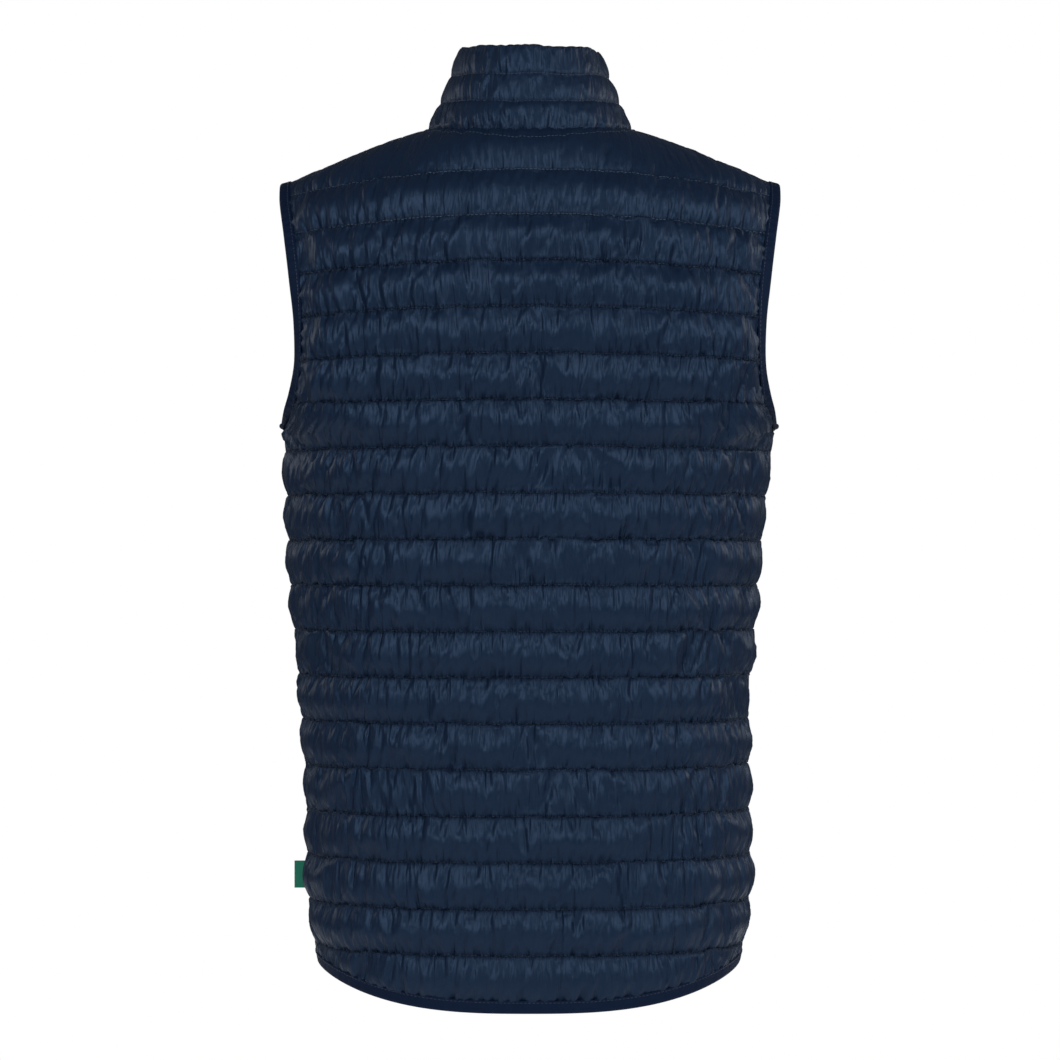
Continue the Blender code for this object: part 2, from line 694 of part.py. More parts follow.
def zip_slider(name, placing, material, collection, cutters):
    """Slider body: two plates joined by a post, with a crown that holds the pull."""
    plate_y = (SLIDER_CORE + SLIDER_PLATE) / 2
    plate = (SLIDER_WIDTH, SLIDER_PLATE, SLIDER_LENGTH)
    front = make_block(name, plate, (0.0, -plate_y, 0.0), placing, material, collection)
    back = make_block("back_plate", plate, (0.0, plate_y, 0.0), placing, material, cutters)
    post_size = (POST_WIDTH, SLIDER_CORE + SLIDER_PLATE, POST_LENGTH)
    post_z = (SLIDER_LENGTH - POST_LENGTH) / 2
    post = make_block("post", post_size, (0.0, 0.0, post_z), placing, material, cutters)
    face = SLIDER_CORE / 2 + SLIDER_PLATE
    half_hole = CROWN_HOLE[0] / 2
    outer = rectangle(-half_hole - CROWN_BAR, half_hole + CROWN_BAR, -CROWN_BAR, CROWN_HOLE[1] + CROWN_BAR)
    inner = rectangle(-half_hole, half_hole, 0.0, CROWN_HOLE[1])
    crown_turn = Matrix(((0, 0, 1), (0, -1, 0), (1, 0, 0))).to_4x4()
    crown_placing = placing @ Matrix.Translation((0.0, -face, 0.0)) @ crown_turn
    crown = flat_outline("crown", [outer, inner], CROWN_WIDTH / 2, crown_placing, material, cutters)
    join_blocks(front, (back, post, crown))
    return front


def zip_pull(name, placing, material, collection):
    """Pull tab hanging from the crown, with its origin on the hinge axis."""
    hinge = placing @ Matrix.Translation((0.0, -SLIDER_CORE / 2 - SLIDER_PLATE - PULL_LIFT, 0.0))
    bar = PULL_THICK / 2
    half_window = PULL_WINDOW[0] / 2
    tongue = rounded_tongue(PULL_WIDTH / 2, bar, bar - PULL_LENGTH)
    window = rectangle(-half_window, half_window, -bar - PULL_WINDOW[1], -bar)
    stand = Matrix.Rotation(math.pi / 2, 4, "X")
    return flat_outline(name, [tongue, window], bar, hinge @ stand, material, collection)


def side_label(name, material, collection):
    """Small folded label standing out of the left side seam."""
    half_width, lean = read_curve(SIDE_CURVE, LABEL_Z)
    outside = PAD_THICK * STITCH_SHARE * (1 + OUTWARD) / 2
    start = half_width + lean + outside + LABEL_GAP
    centre = (start + LABEL_SIZE[0] / 2, SIDE_SEAM_Y, LABEL_Z)
    return make_block(name, LABEL_SIZE, centre, Matrix.Identity(4), material, collection)


def main():
    """Build the vest."""
    clear_scene()
    vest = make_collection("quilted_vest")
    cutters = make_collection("joined_blocks")
    finishes = {name: make_material(name, finish) for name, finish in FINISHES.items()}
    shell, binding = finishes["shell_fabric"], finishes["binding"]
    tape, metal = finishes["zip_tape"], finishes["zip_metal"]
    back, left, right, collar = back_grid(), front_grid(1), front_grid(-1), collar_grid()
    make_padded("back_panel", back, ((0.0, 0.1, -0.4), (0.0, 1.0, 0.0)), shell, vest)
    make_padded("front_left", left, ((0.1, -0.1, -0.4), (0.0, -1.0, 0.0)), shell, vest)
    make_padded("front_right", right, ((-0.1, -0.1, -0.4), (0.0, -1.0, 0.0)), shell, vest)
    make_padded("collar", collar, ((0.0, 0.07, 0.03), (0.0, 1.0, 0.0)), shell, vest)
    armhole_binding("armhole_binding_left", back[0], left[0], 1, binding, vest)
    armhole_binding("armhole_binding_right", back[0], right[0], -1, binding, vest)
    hem_binding("hem_binding", back[0], left[0], right[0], binding, vest)
    left_path = zip_tape("zip_tape_left", left[0], collar[0], 1, tape, vest)
    right_path = zip_tape("zip_tape_right", right[0], collar[0], -1, tape, vest)
    path = (left_path + right_path) / 2
    placing = slider_placing(path)
    zip_slider("zip_slider", placing, metal, vest, cutters)
    zip_pull("zip_pull", placing, metal, vest)
    post_foot = SLIDER_BELOW_TOP - SLIDER_LENGTH / 2 + POST_LENGTH + SEAM_GAP
    length = np.concatenate(([0.0], np.cumsum(np.linalg.norm(np.diff(path, axis=0), axis=1))))
    run = np.append(length[length < length[-1] - post_foot], length[-1] - post_foot)
    chain_path = np.stack([np.interp(run, length, path[:, c]) for c in range(3)], axis=1)
    zip_chain("zip_chain", chain_path, metal, vest)
    foot = Vector(chain_path[0])
    box_centre = (foot.x, foot.y, foot.z - BOX_SIZE[2] / 2 - SEAM_GAP)
    make_block("zip_box", BOX_SIZE, box_centre, Matrix.Identity(4), metal, vest)
    side_label("side_label", finishes["label"], vest)


main()
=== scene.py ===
import math
import time
from contextlib import contextmanager
from types import SimpleNamespace as Settings
import bpy
import numpy as np
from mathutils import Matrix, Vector


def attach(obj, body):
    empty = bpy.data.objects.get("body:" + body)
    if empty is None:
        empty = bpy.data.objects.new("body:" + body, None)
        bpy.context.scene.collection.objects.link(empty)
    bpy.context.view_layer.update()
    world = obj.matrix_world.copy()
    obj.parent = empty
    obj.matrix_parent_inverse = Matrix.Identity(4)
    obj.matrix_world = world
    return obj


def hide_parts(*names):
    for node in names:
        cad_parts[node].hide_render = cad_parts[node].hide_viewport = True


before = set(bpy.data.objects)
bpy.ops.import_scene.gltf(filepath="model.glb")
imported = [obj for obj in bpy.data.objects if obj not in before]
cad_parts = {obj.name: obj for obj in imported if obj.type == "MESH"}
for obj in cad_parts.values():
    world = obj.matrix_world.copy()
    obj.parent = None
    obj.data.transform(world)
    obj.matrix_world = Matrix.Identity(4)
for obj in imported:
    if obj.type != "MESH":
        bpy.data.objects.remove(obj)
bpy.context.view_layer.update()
startTime = time.time()
# gaps too small to count: between places, between shares of a channel, and in a division
closeBy, tiny, nothing = 1e-6, 1e-9, 1e-12


def stageDone(words):
    print(f"{words} ({time.time() - startTime:.0f} s)")


stageDone("frame loaded")

# camera: level, square to the back, as far off as the photo's perspective says
view = Settings(place=(0.0, 2.926, -0.338), focalPixels=3441.5, framePixels=1060, sensor=36.0)


def addCamera():
    bpy.ops.object.camera_add(location=view.place, rotation=(math.pi / 2, 0.0, math.pi))
    camera = bpy.context.object
    camera.name = "photoCamera"
    camera.data.sensor_width = view.sensor
    camera.data.lens = view.focalPixels / view.framePixels * view.sensor
    bpy.context.scene.camera = camera


# the vest's form, as its cut and padding give it: lengths in metres
quilt = Settings(topLine=-0.041, pitch=0.038, count=18, droop=0.017, droopFade=0.12)
neck = Settings(
    half=0.084, midY=0.002, back=0.072, front=0.082, height=0.0, backDrop=0.005, frontDrop=0.079,
    frontCurve=1.5)
collarTop = Settings(
    half=0.0575, midY=-0.005, back=0.064, front=0.069, height=0.069, backDrop=0.004, frontDrop=0.074,
    frontCurve=1.6, channels=3, rows=12, columns=300, allowance=0.06)
shoulder = Settings(tip=(0.2055, 0.0, -0.044), crown=0.002, bendY=0.35, bendZ=0.85)
hem = {"back": -0.7265, "side": -0.6965, "front": -0.7065, "curve": 3.0}
sideSeam = Settings(depth=-0.015, underarmRow=-0.250)
body = Settings(
    round=2.3, roundFrom=-0.12, roundSpan=0.13, lineCurve=2.0, neckShare=0.38, upright=0.12, widest=0.30,
    steps=240)
underarm = Settings(
    span=0.035, begin=-0.150, full=-0.210, reach=0.40, averageSpans=2.0, averageSteps=41, easeReach=0.045,
    easeShare=0.55, easeTurns=160)
frontEdgeX = 0.0085
# padded wall: rows and columns of the mesh, how far it stands out at a stitch and between stitches
padding = Settings(
    rows=14, hemRows=9, yokeRows=14, halfColumns=162, squeeze=0.6, coarse=3, outLow=0.0008, outHigh=0.0048,
    inLow=0.0008, inHigh=0.0034, rim=0.0006, fade=0.026, fullHeight=0.034, leastTall=0.1, round=2.1,
    roundPower=0.95, seamReach=0.005)

lines = [quilt.topLine - quilt.pitch * k for k in range(quilt.count)]


def edgeHeight(height):
    return height - quilt.droop * math.exp((height - quilt.topLine) / quilt.droopFade)


underarmZ = edgeHeight(sideSeam.underarmRow)

# height, back and front centre lines seen from the side
centreRows = ((0.000, 0.070, -0.045), (-0.041, 0.094, -0.062), (-0.079, 0.108, -0.080),
              (-0.117, 0.116, -0.098), (-0.155, 0.120, -0.111), (-0.200, 0.1205, -0.121),
              (-0.260, 0.118, -0.127), (-0.350, 0.111, -0.125), (-0.430, 0.105, -0.120),
              (-0.500, 0.103, -0.117), (-0.580, 0.105, -0.115), (-0.650, 0.107, -0.113),
              (-0.740, 0.103, -0.109))
# height, half width at the side seam, lean to the wearer's left
sideRows = ((-0.200, 0.2100, 0.000), (-0.260, 0.2075, 0.001), (-0.310, 0.2025, 0.003),
            (-0.360, 0.1990, 0.005), (-0.430, 0.1938, 0.005), (-0.500, 0.1885, 0.004),
            (-0.570, 0.1872, 0.002), (-0.650, 0.1860, 0.001), (-0.690, 0.1810, 0.001),
            (-0.740, 0.1690, 0.001))
# height, across, depth of the armhole edges
armholeRows = {
    "back": ((-0.044, 0.2055, 0.0), (-0.058, 0.2045, 0.028), (-0.091, 0.1990, 0.055),
             (-0.126, 0.1940, 0.070), (-0.162, 0.1905, 0.076), (-0.198, 0.1905, 0.073),
             (-0.2345, 0.1975, 0.050), (-0.2470, 0.2025, 0.022), (underarmZ, 0.2075, -0.015)),
    "front": ((-0.044, 0.2055, 0.0), (-0.058, 0.2025, -0.024), (-0.091, 0.1950, -0.050),
              (-0.126, 0.1860, -0.066), (-0.162, 0.1800, -0.074), (-0.198, 0.1800, -0.075),
              (-0.2345, 0.1915, -0.060), (-0.2470, 0.1995, -0.041), (underarmZ, 0.2075, -0.015)),
}


def runLength(points):
    return np.concatenate(([0.0], np.cumsum(np.linalg.norm(np.diff(points, axis=0), axis=1))))


def readTrack(at, length, track):
    return np.stack([np.interp(at, length, track[:, c]) for c in range(3)], axis=1)


def unit(vectors):
    return vectors / np.maximum(np.linalg.norm(vectors, axis=-1, keepdims=True), nothing)


def smoothTable(rows, steps=40):
    points = np.array(rows, dtype=float)
    if points[0, 0] > points[-1, 0]:
        points = points[::-1]
    chord = runLength(points)
    slope = np.gradient(points, chord, axis=0)
    at = np.linspace(0.0, chord[-1], steps * (len(points) - 1) + 1)
    k = np.clip(np.searchsorted(chord, at, side="right") - 1, 0, len(chord) - 2)
    span = (chord[k + 1] - chord[k])[:, None]
    t = (at - chord[k])[:, None] / span
    start = (1 + 2 * t) * (1 - t) ** 2 * points[k] + t * (1 - t) ** 2 * span * slope[k]
    end = t * t * (3 - 2 * t) * points[k + 1] - t * t * (1 - t) * span * slope[k + 1]
    return start + end


centreCurve = smoothTable(centreRows)
sideCurve = smoothTable(sideRows)
armholeCurves = {face: smoothTable(rows) for face, rows in armholeRows.items()}


def readCurve(curve, height, column):
    return np.interp(height, curve[:, 0], curve[:, column])


def smoothStep(values):
    t = np.clip(values, 0.0, 1.0)
    return t * t * (3 - 2 * t)


def panelEdge(face, height):
    if height >= underarmZ - closeBy:
        curve = armholeCurves[face]
        return np.array((readCurve(curve, height, 1), readCurve(curve, height, 2), height))
    return np.array((readCurve(sideCurve, height, 1), sideSeam.depth, height))


def resample(curve, shares, upright=0.0):
    length = runLength(curve)
    kept = upright / body.widest
    outer = upright + (length[-1] - upright) * (shares - kept) / (1 - kept)
    return readTrack(np.where(shares < kept, shares * body.widest, outer), length, curve)


# a point of the neck seam or of the collar's top edge, by its angle from the centre back
def ringPoint(ring, angle):
    along = math.cos(angle)
    if along >= 0:
        reach, drop = ring.back, ring.backDrop * along ** 2
    else:
        reach, drop = ring.front, ring.frontDrop * (-along) ** ring.frontCurve
    return np.array((ring.half * math.sin(angle), ring.midY + reach * along, ring.height - drop))


def evenDepth(face, edge):
    share = smoothStep((underarm.begin - edge[2]) / (underarm.begin - underarm.full))
    steps = np.linspace(-underarm.averageSpans, underarm.averageSpans, underarm.averageSteps)
    depths = [panelEdge(face, edge[2] + underarm.span * step)[1] for step in steps]
    return edge[1] + (np.average(depths, weights=np.exp(-2 * steps ** 2)) - edge[1]) * share


def section(face, height, edge, startX, power):
    centreY = readCurve(centreCurve, height, 1 if face == "back" else 2)
    fullness = 1.0 + (body.round - 1.0) * smoothStep((body.roundFrom - edge[2]) / body.roundSpan)
    u = np.sin(np.linspace(math.asin(startX / edge[0]), math.pi / 2, body.steps))
    profile = np.maximum(1.0 - u ** body.round, 0.0) ** (1.0 / fullness)
    even = evenDepth(face, edge)
    turnIn = (edge[1] - even) * smoothStep((u - 1 + underarm.reach) / underarm.reach)
    depth = even + (centreY - even) * profile + turnIn
    return np.stack((edge[0] * u, depth, height + (edge[2] - height) * u ** power), axis=1)


def shoulderLine(shares):
    shares = np.asarray(shares)[:, None]
    start, end = ringPoint(neck, math.pi / 2), np.array(shoulder.tip)
    points = start + (end - start) * shares
    points[:, 2] += shoulder.crown * np.sin(math.pi * shares[:, 0])
    return points


def overShoulder(low, top, step):
    bend = low.copy()
    bend[:, 0] = (low[:, 0] + top[:, 0]) / 2
    bend[:, 1] = low[:, 1] + shoulder.bendY * (top[:, 1] - low[:, 1])
    bend[:, 2] = low[:, 2] + shoulder.bendZ * (top[:, 2] - low[:, 2])
    return (1 - step) ** 2 * low + 2 * step * (1 - step) * bend + step ** 2 * top


# rows of a panel from the hem up: zone, place in the zone, channel number, place in the channel
def easedRows(count, squeeze):
    t = np.arange(count) / count
    return t - squeeze * np.sin(2 * np.pi * t) / (2 * np.pi)


def panelLevels():
    levels = [("hem", p, quilt.count, p) for p in easedRows(padding.hemRows, padding.squeeze)]
    for k in range(quilt.count - 1, 0, -1):
        for p in easedRows(padding.rows, padding.squeeze):
            levels.append(("body", lines[k] + quilt.pitch * p, k, p))
    for p in [*easedRows(padding.yokeRows, padding.squeeze), 1.0]:
        levels.append(("yoke", p, 0, p))
    return levels


def frontStart(height):
    if height <= -neck.frontDrop:
        return None
    along = (max(-height, 0.0) / neck.frontDrop) ** (1.0 / neck.frontCurve)
    return ringPoint(neck, math.pi - math.acos(along))


def panelRow(face, height, edge, shares, power):
    if face == "back":
        return resample(section(face, height, edge, 0.0, power), shares, body.upright)
    start = frontStart(height)
    startX = frontEdgeX if start is None else start[0]
    points = resample(section(face, height, edge, startX, power), shares)
    if start is not None:
        points += (start - points[0]) * (1 - shares[:, None])
    return points


def lineRow(face, height, shares):
    return panelRow(face, height, panelEdge(face, edgeHeight(height)), shares, body.lineCurve)


def halfPanel(face, levels, shares):
    hemCurve = hem["curve"] if face == "back" else body.lineCurve
    hemRow = panelRow(face, hem[face], panelEdge(face, hem["side"]), shares, hemCurve)
    lastLine, firstLine = lineRow(face, lines[-1], shares), lineRow(face, lines[0], shares)
    if face == "back":
        inner = shares <= body.neckShare
        top = shoulderLine(np.clip((shares - body.neckShare) / (1 - body.neckShare), 0, 1))
        top[inner] = [ringPoint(neck, s / body.neckShare * math.pi / 2) for s in shares[inner]]
    else:
        top = shoulderLine(shares)
    rows = []
    for zone, place, *_ in levels:
        if zone == "hem":
            rows.append(hemRow + (lastLine - hemRow) * place)
        elif zone == "body":
            rows.append(lineRow(face, place, shares))
        else:
            points = overShoulder(firstLine, top, place)
            if face == "front" and place < 1.0:
                start = frontStart(lines[0] * (1 - place))
                points += (start - points[0]) * (1 - shares[:, None]) ** 2
            rows.append(points)
    return np.array(rows)


def lean(points):
    points[..., 0] += readCurve(sideCurve, points[..., 2], 2)
    return points


# columns run so that the faces look outwards: left to right on the back, right to left on the fronts
def panelForm(levels, face, side=1):
    half = halfPanel(face, levels, np.linspace(0.0, 1.0, padding.halfColumns + 1))
    mirrored = half * np.array((-1.0, 1.0, 1.0))
    if face == "back":
        return lean(np.concatenate((mirrored[:, :0:-1], half), axis=1)[:, ::-1])
    return lean(half if side > 0 else mirrored[:, ::-1])


# the wall runs round the underarm without a ledge
def easeUnderarm(form):
    rows = np.nonzero(np.abs(form[:, 0, 2] - underarmZ) < underarm.easeReach * 2)[0]
    part = form[rows[0] - 1:rows[-1] + 2].copy()
    columns = part.shape[1]
    edge = np.minimum(np.arange(columns), np.arange(columns)[::-1]) / padding.halfColumns
    near = smoothStep((underarm.easeShare - edge) / underarm.easeShare * 2)[None, :]
    weight = near * np.exp(-((part[:, :, 2] - underarmZ) / underarm.easeReach) ** 2)
    for _ in range(underarm.easeTurns):
        normals = gridNormals(part)[1:-1, 1:-1]
        around = (part[:-2, 1:-1] + part[2:, 1:-1] + part[1:-1, :-2] + part[1:-1, 2:]) / 4
        lift = np.sum((around - part[1:-1, 1:-1]) * normals, axis=2)
        part[1:-1, 1:-1] += normals * (lift * weight[1:-1, 1:-1])[..., None]
    form[rows[0]:rows[-1] + 1] = part[1:-1]
    return form


def collarForm():
    shares = [(k + p) / collarTop.channels for k in range(collarTop.channels)
              for p in easedRows(collarTop.rows, padding.squeeze)] + [1.0]
    rows = []
    for share in [-collarTop.allowance, *shares[1:]]:
        half = neck.half + (collarTop.half - neck.half) * share
        lastAngle = math.pi - math.asin(frontEdgeX / half)
        turns = np.linspace(lastAngle, -lastAngle, collarTop.columns + 1)
        base = np.array([ringPoint(neck, turn) for turn in turns])
        top = np.array([ringPoint(collarTop, turn) for turn in turns])
        rows.append(base + (top - base) * share)
    return np.array(rows), np.array(shares)


def gridNormals(points):
    return unit(np.cross(np.gradient(points, axis=1), np.gradient(points, axis=0)))


# materials: one for each finish, read from the piece's own flat map in metres
def addNode(tree, kind, inputs=None, **settings):
    node = tree.nodes.new(kind)
    for name, value in settings.items():
        setattr(node, name, value)
    for socket, value in (inputs or {}).items():
        if isinstance(value, bpy.types.NodeSocket):
            tree.links.new(value, node.inputs[socket])
        else:
            node.inputs[socket].default_value = value
    return node


def newMaterial(name, values):
    material = bpy.data.materials.new(name)
    material.use_nodes = True
    shader = material.node_tree.nodes["Principled BSDF"]
    for socket, value in values.items():
        shader.inputs[socket].default_value = value
    return material, material.node_tree, shader


# sockets of a colour mix: its two ends and its result
mixSockets = Settings(first=6, second=7, result=2)


def mixed(tree, factor, *ends):
    first, second = [end if isinstance(end, bpy.types.NodeSocket) else (*end, 1.0) for end in ends]
    inputs = {"Factor": factor, mixSockets.first: first, mixSockets.second: second}
    return addNode(tree, "ShaderNodeMix", inputs, data_type="RGBA").outputs[mixSockets.result]


def spread(tree, value, low, high, start=0.0, end=1.0, kind="LINEAR"):
    inputs = {"Value": value, "From Min": start, "From Max": end, "To Min": low, "To Max": high}
    return addNode(tree, "ShaderNodeMapRange", inputs, interpolation_type=kind).outputs["Result"]


def reckon(tree, operation, first, second):
    return addNode(tree, "ShaderNodeMath", {0: first, 1: second}, operation=operation).outputs["Value"]


def times(tree, first, second):
    return reckon(tree, "MULTIPLY", first, second)


def flatMap(tree, scale=(1.0, 1.0, 1.0), turn=0.0):
    places = addNode(tree, "ShaderNodeUVMap", uv_map="flat").outputs["UV"]
    inputs = {"Vector": places, "Scale": scale, "Rotation": (0.0, 0.0, turn)}
    return addNode(tree, "ShaderNodeMapping", inputs).outputs["Vector"]


def objectMap(tree):
    return addNode(tree, "ShaderNodeTexCoord").outputs["Object"]


def noiseOn(tree, vector, scale, detail=2.0):
    inputs = {"Vector": vector, "Scale": scale, "Detail": detail}
    return addNode(tree, "ShaderNodeTexNoise", inputs).outputs["Fac"]


# a wave texture of this scale has one band a metre
bandScale = 0.314


def bandsOn(tree, vector, scale, way, more=None):
    inputs = {"Vector": vector, "Scale": scale, **(more or {})}
    return addNode(tree, "ShaderNodeTexWave", inputs, bands_direction=way).outputs["Fac"]


def weaveOn(tree, vector, thread):
    return times(tree, *[bandsOn(tree, vector, bandScale / thread, way) for way in "XY"])


def bumpOn(tree, shader, *layers):
    normal = None
    for height, distance, strength in layers:
        inputs = {"Height": height, "Distance": distance, "Strength": strength}
        if normal:
            inputs["Normal"] = normal
        normal = addNode(tree, "ShaderNodeBump", inputs).outputs["Normal"]
    tree.links.new(normal, shader.inputs["Normal"])


# the quilted shell: its tones, painted shade in the creases near the stitches and along the stitch grooves,
# and its bumps as distance and strength
shellLook = Settings(
    shader={"Specular IOR Level": 0.33, "Specular Tint": (0.40, 0.62, 1.0, 1.0), "Sheen Weight": 0.0},
    dark=(0.0046, 0.0121, 0.0312), light=(0.0067, 0.0156, 0.0372), deep=(0.0014, 0.0050, 0.0155),
    toneScale=22.0, rough=(0.36, 0.47), roughScale=90.0, thread=0.00055, stitchGap=0.0034, seamPower=3.8,
    seamShade=0.75, creaseCells=(115.0, 15.0, 1.0), creaseWidth=0.20, creaseShade=0.27, creaseMiddle=0.45,
    patchScale=45.0, patchFrom=0.40, patchTo=0.62, fineScale=(420.0, 60.0, 1.0), fineDetail=3.0,
    fineMiddle=0.08, slantScale=(125.0, 26.0, 1.0), slantDetail=2.5, slantTurn=0.12,
    dimple={"Distortion": 1.5, "Detail Scale": 60.0}, slantBump=(0.0034, 0.55), creaseBump=(0.0019, 0.65),
    fineBump=(0.0018, 0.7), dimpleBump=(0.0016, 0.9), weaveBump=(0.00006, 0.5))


def shellFabric():
    look = shellLook
    material, tree, shader = newMaterial("shellFabric", look.shader)
    flat = flatMap(tree)
    seam = addNode(tree, "ShaderNodeAttribute", attribute_name="seam").outputs["Fac"]
    tight = reckon(tree, "POWER", seam, look.seamPower)
    inputs = {"Vector": flatMap(tree, look.creaseCells), "Scale": 1.0}
    cells = addNode(tree, "ShaderNodeTexVoronoi", inputs, voronoi_dimensions="2D",
                    feature="DISTANCE_TO_EDGE").outputs["Distance"]
    ridge = spread(tree, cells, 1.0, 0.0, 0.0, look.creaseWidth, "SMOOTHSTEP")
    patch = noiseOn(tree, flat, look.patchScale)
    some = spread(tree, patch, 0.0, 1.0, look.patchFrom, look.patchTo, "SMOOTHSTEP")
    crease = times(tree, times(tree, ridge, some), spread(tree, seam, look.creaseMiddle, 1.0))
    tone = mixed(tree, noiseOn(tree, flat, look.toneScale), look.dark, look.light)
    # painted shade: the tone is darkened toward a dark shade colour in the creases, where shade would fall
    tone = mixed(tree, spread(tree, crease, 0.0, look.creaseShade), tone, look.deep)
    # painted shade: the tone is darkened along the stitch grooves, where shade would fall in the valley
    tone = mixed(tree, spread(tree, tight, 0.0, look.seamShade), tone, look.deep)
    tree.links.new(tone, shader.inputs["Base Color"])
    rough = spread(tree, noiseOn(tree, flat, look.roughScale), *look.rough)
    tree.links.new(rough, shader.inputs["Roughness"])
    slanted = noiseOn(tree, flatMap(tree, look.slantScale, look.slantTurn), 1.0, look.slantDetail)
    fine = noiseOn(tree, flatMap(tree, look.fineScale), 1.0, look.fineDetail)
    fine = times(tree, fine, spread(tree, seam, look.fineMiddle, 1.0))
    dimples = times(tree, bandsOn(tree, flat, bandScale / look.stitchGap, "X", look.dimple), tight)
    bumpOn(tree, shader, (slanted, *look.slantBump),
           (reckon(tree, "SUBTRACT", 1.0, crease), *look.creaseBump), (fine, *look.fineBump),
           (dimples, *look.dimpleBump), (weaveOn(tree, flat, look.thread), *look.weaveBump))
    return material


# plainer finishes: two tones, roughness that follows them, bumps as kind, size, distance and strength
threadLook = {
    "shader": {"Roughness": 0.45, "Specular IOR Level": 0.4, "Sheen Weight": 0.1, "Sheen Roughness": 0.4},
    "map": objectMap, "toneScale": 400.0, "rough": (0.38, 0.55), "bumps": (("twist", 700.0, 0.0001, 0.4),)}
finishes = {
    "bindingTape": {
        "shader": {"Specular IOR Level": 0.15, "Specular Tint": (0.5, 0.6, 1.0, 1.0), "Sheen Weight": 0.0},
        "dark": (0.0020, 0.0072, 0.0225), "light": (0.0034, 0.0106, 0.0310),
        "map": flatMap, "toneScale": 120.0, "rough": (0.5, 0.68),
        "bumps": (("ribs", bandScale / 0.0011, 0.00018, 0.5), ("weave", 0.0007, 0.00008, 0.5))},
    "quiltThread": {**threadLook, "dark": (0.0075, 0.0165, 0.040), "light": (0.022, 0.042, 0.085)},
    "yokeThread": {**threadLook, "dark": (0.018, 0.036, 0.070), "light": (0.060, 0.095, 0.150)},
    "labelWeave": {
        "shader": {"Roughness": 0.62, "Specular IOR Level": 0.25, "Sheen Weight": 0.15,
                   "Sheen Roughness": 0.4},
        "dark": (0.0055, 0.135, 0.085), "light": (0.0120, 0.205, 0.130), "map": flatMap,
        "toneScale": 500.0, "rough": (0.55, 0.7), "bumps": (("weave", 0.0006, 0.00012, 0.6),)},
    "zipTapeWeave": {
        "shader": {"Roughness": 0.7, "Specular IOR Level": 0.2, "Sheen Weight": 0.12, "Sheen Roughness": 0.4},
        "dark": (0.007, 0.011, 0.026), "light": (0.012, 0.018, 0.040), "map": flatMap,
        "toneScale": 260.0, "rough": (0.6, 0.78), "bumps": (("weave", 0.0009, 0.00015, 0.6),)},
    "zipMetal": {
        "shader": {"Metallic": 0.9, "Roughness": 0.32},
        "dark": (0.055, 0.058, 0.066), "light": (0.125, 0.130, 0.142),
        "map": objectMap, "toneScale": 320.0, "toneDetail": 4.0, "rough": (0.22, 0.44),
        "bumps": (("grain", 2500.0, 0.00005, 0.4),)},
}


def bumpHeight(tree, where, kind, size):
    if kind == "weave":
        return weaveOn(tree, where, size)
    if kind == "grain":
        return noiseOn(tree, where, size)
    return bandsOn(tree, where, size, "DIAGONAL" if kind == "twist" else "X")


def plainFinish(name):
    look = finishes[name]
    material, tree, shader = newMaterial(name, look["shader"])
    where = look["map"](tree)
    tone = noiseOn(tree, where, look["toneScale"], look.get("toneDetail", 2.0))
    tree.links.new(mixed(tree, tone, look["dark"], look["light"]), shader.inputs["Base Color"])
    tree.links.new(spread(tree, tone, *look["rough"]), shader.inputs["Roughness"])
    bumpOn(tree, shader, *[(bumpHeight(tree, where, kind, size), distance, strength)
                           for kind, size, distance, strength in look["bumps"]])
    return material


shellCloth = shellFabric()
looks = {name: plainFinish(name) for name in finishes}


def pick(*pieces):
    bpy.ops.object.select_all(action="DESELECT")
    for piece in pieces:
        piece.select_set(True)
        bpy.context.view_layer.objects.active = piece


@contextmanager
def editing():
    bpy.ops.object.mode_set(mode="EDIT")
    yield
    bpy.ops.object.mode_set(mode="OBJECT")


# a grid piece: its points, its flat places in metres and how close each point is to a seam
def addGrid(name, points, flat, seam, material):
    rows, columns = points.shape[:2]
    pick()
    bpy.ops.mesh.primitive_grid_add(x_subdivisions=columns - 1, y_subdivisions=rows - 1, size=2.0)
    piece = bpy.context.object
    piece.name = name
    mesh = piece.data
    mesh.name = name
    mesh.vertices.foreach_set("co", points.ravel())
    while mesh.uv_layers:
        mesh.uv_layers.remove(mesh.uv_layers[0])
    corners = np.empty(len(mesh.loops), dtype=np.int32)
    mesh.loops.foreach_get("vertex_index", corners)
    places = mesh.uv_layers.new(name="flat")
    places.data.foreach_set("uv", flat.reshape(-1, 2)[corners].ravel())
    mesh.attributes.new("seam", "FLOAT", "POINT").data.foreach_set("value", seam.ravel())
    mesh.materials.append(material)
    mesh.update()
    bpy.ops.object.shade_smooth()
    return piece


def readPoints(piece, shape):
    points = np.empty(len(piece.data.vertices) * 3)
    piece.data.vertices.foreach_get("co", points)
    return points.reshape(*shape, 3)


# a wavy run: sines of uneven length, always the same for one seed
ripples = Settings(count=6, spread=(0.5, 1.8), level=2.4)


def wave(at, scale, seed):
    draw = np.random.default_rng(seed)
    total = np.zeros_like(at)
    for _ in range(ripples.count):
        turn = 2 * np.pi / (scale * draw.uniform(*ripples.spread))
        total = total + np.sin(turn * at + draw.uniform(0, 2 * np.pi)) / ripples.level
    return total


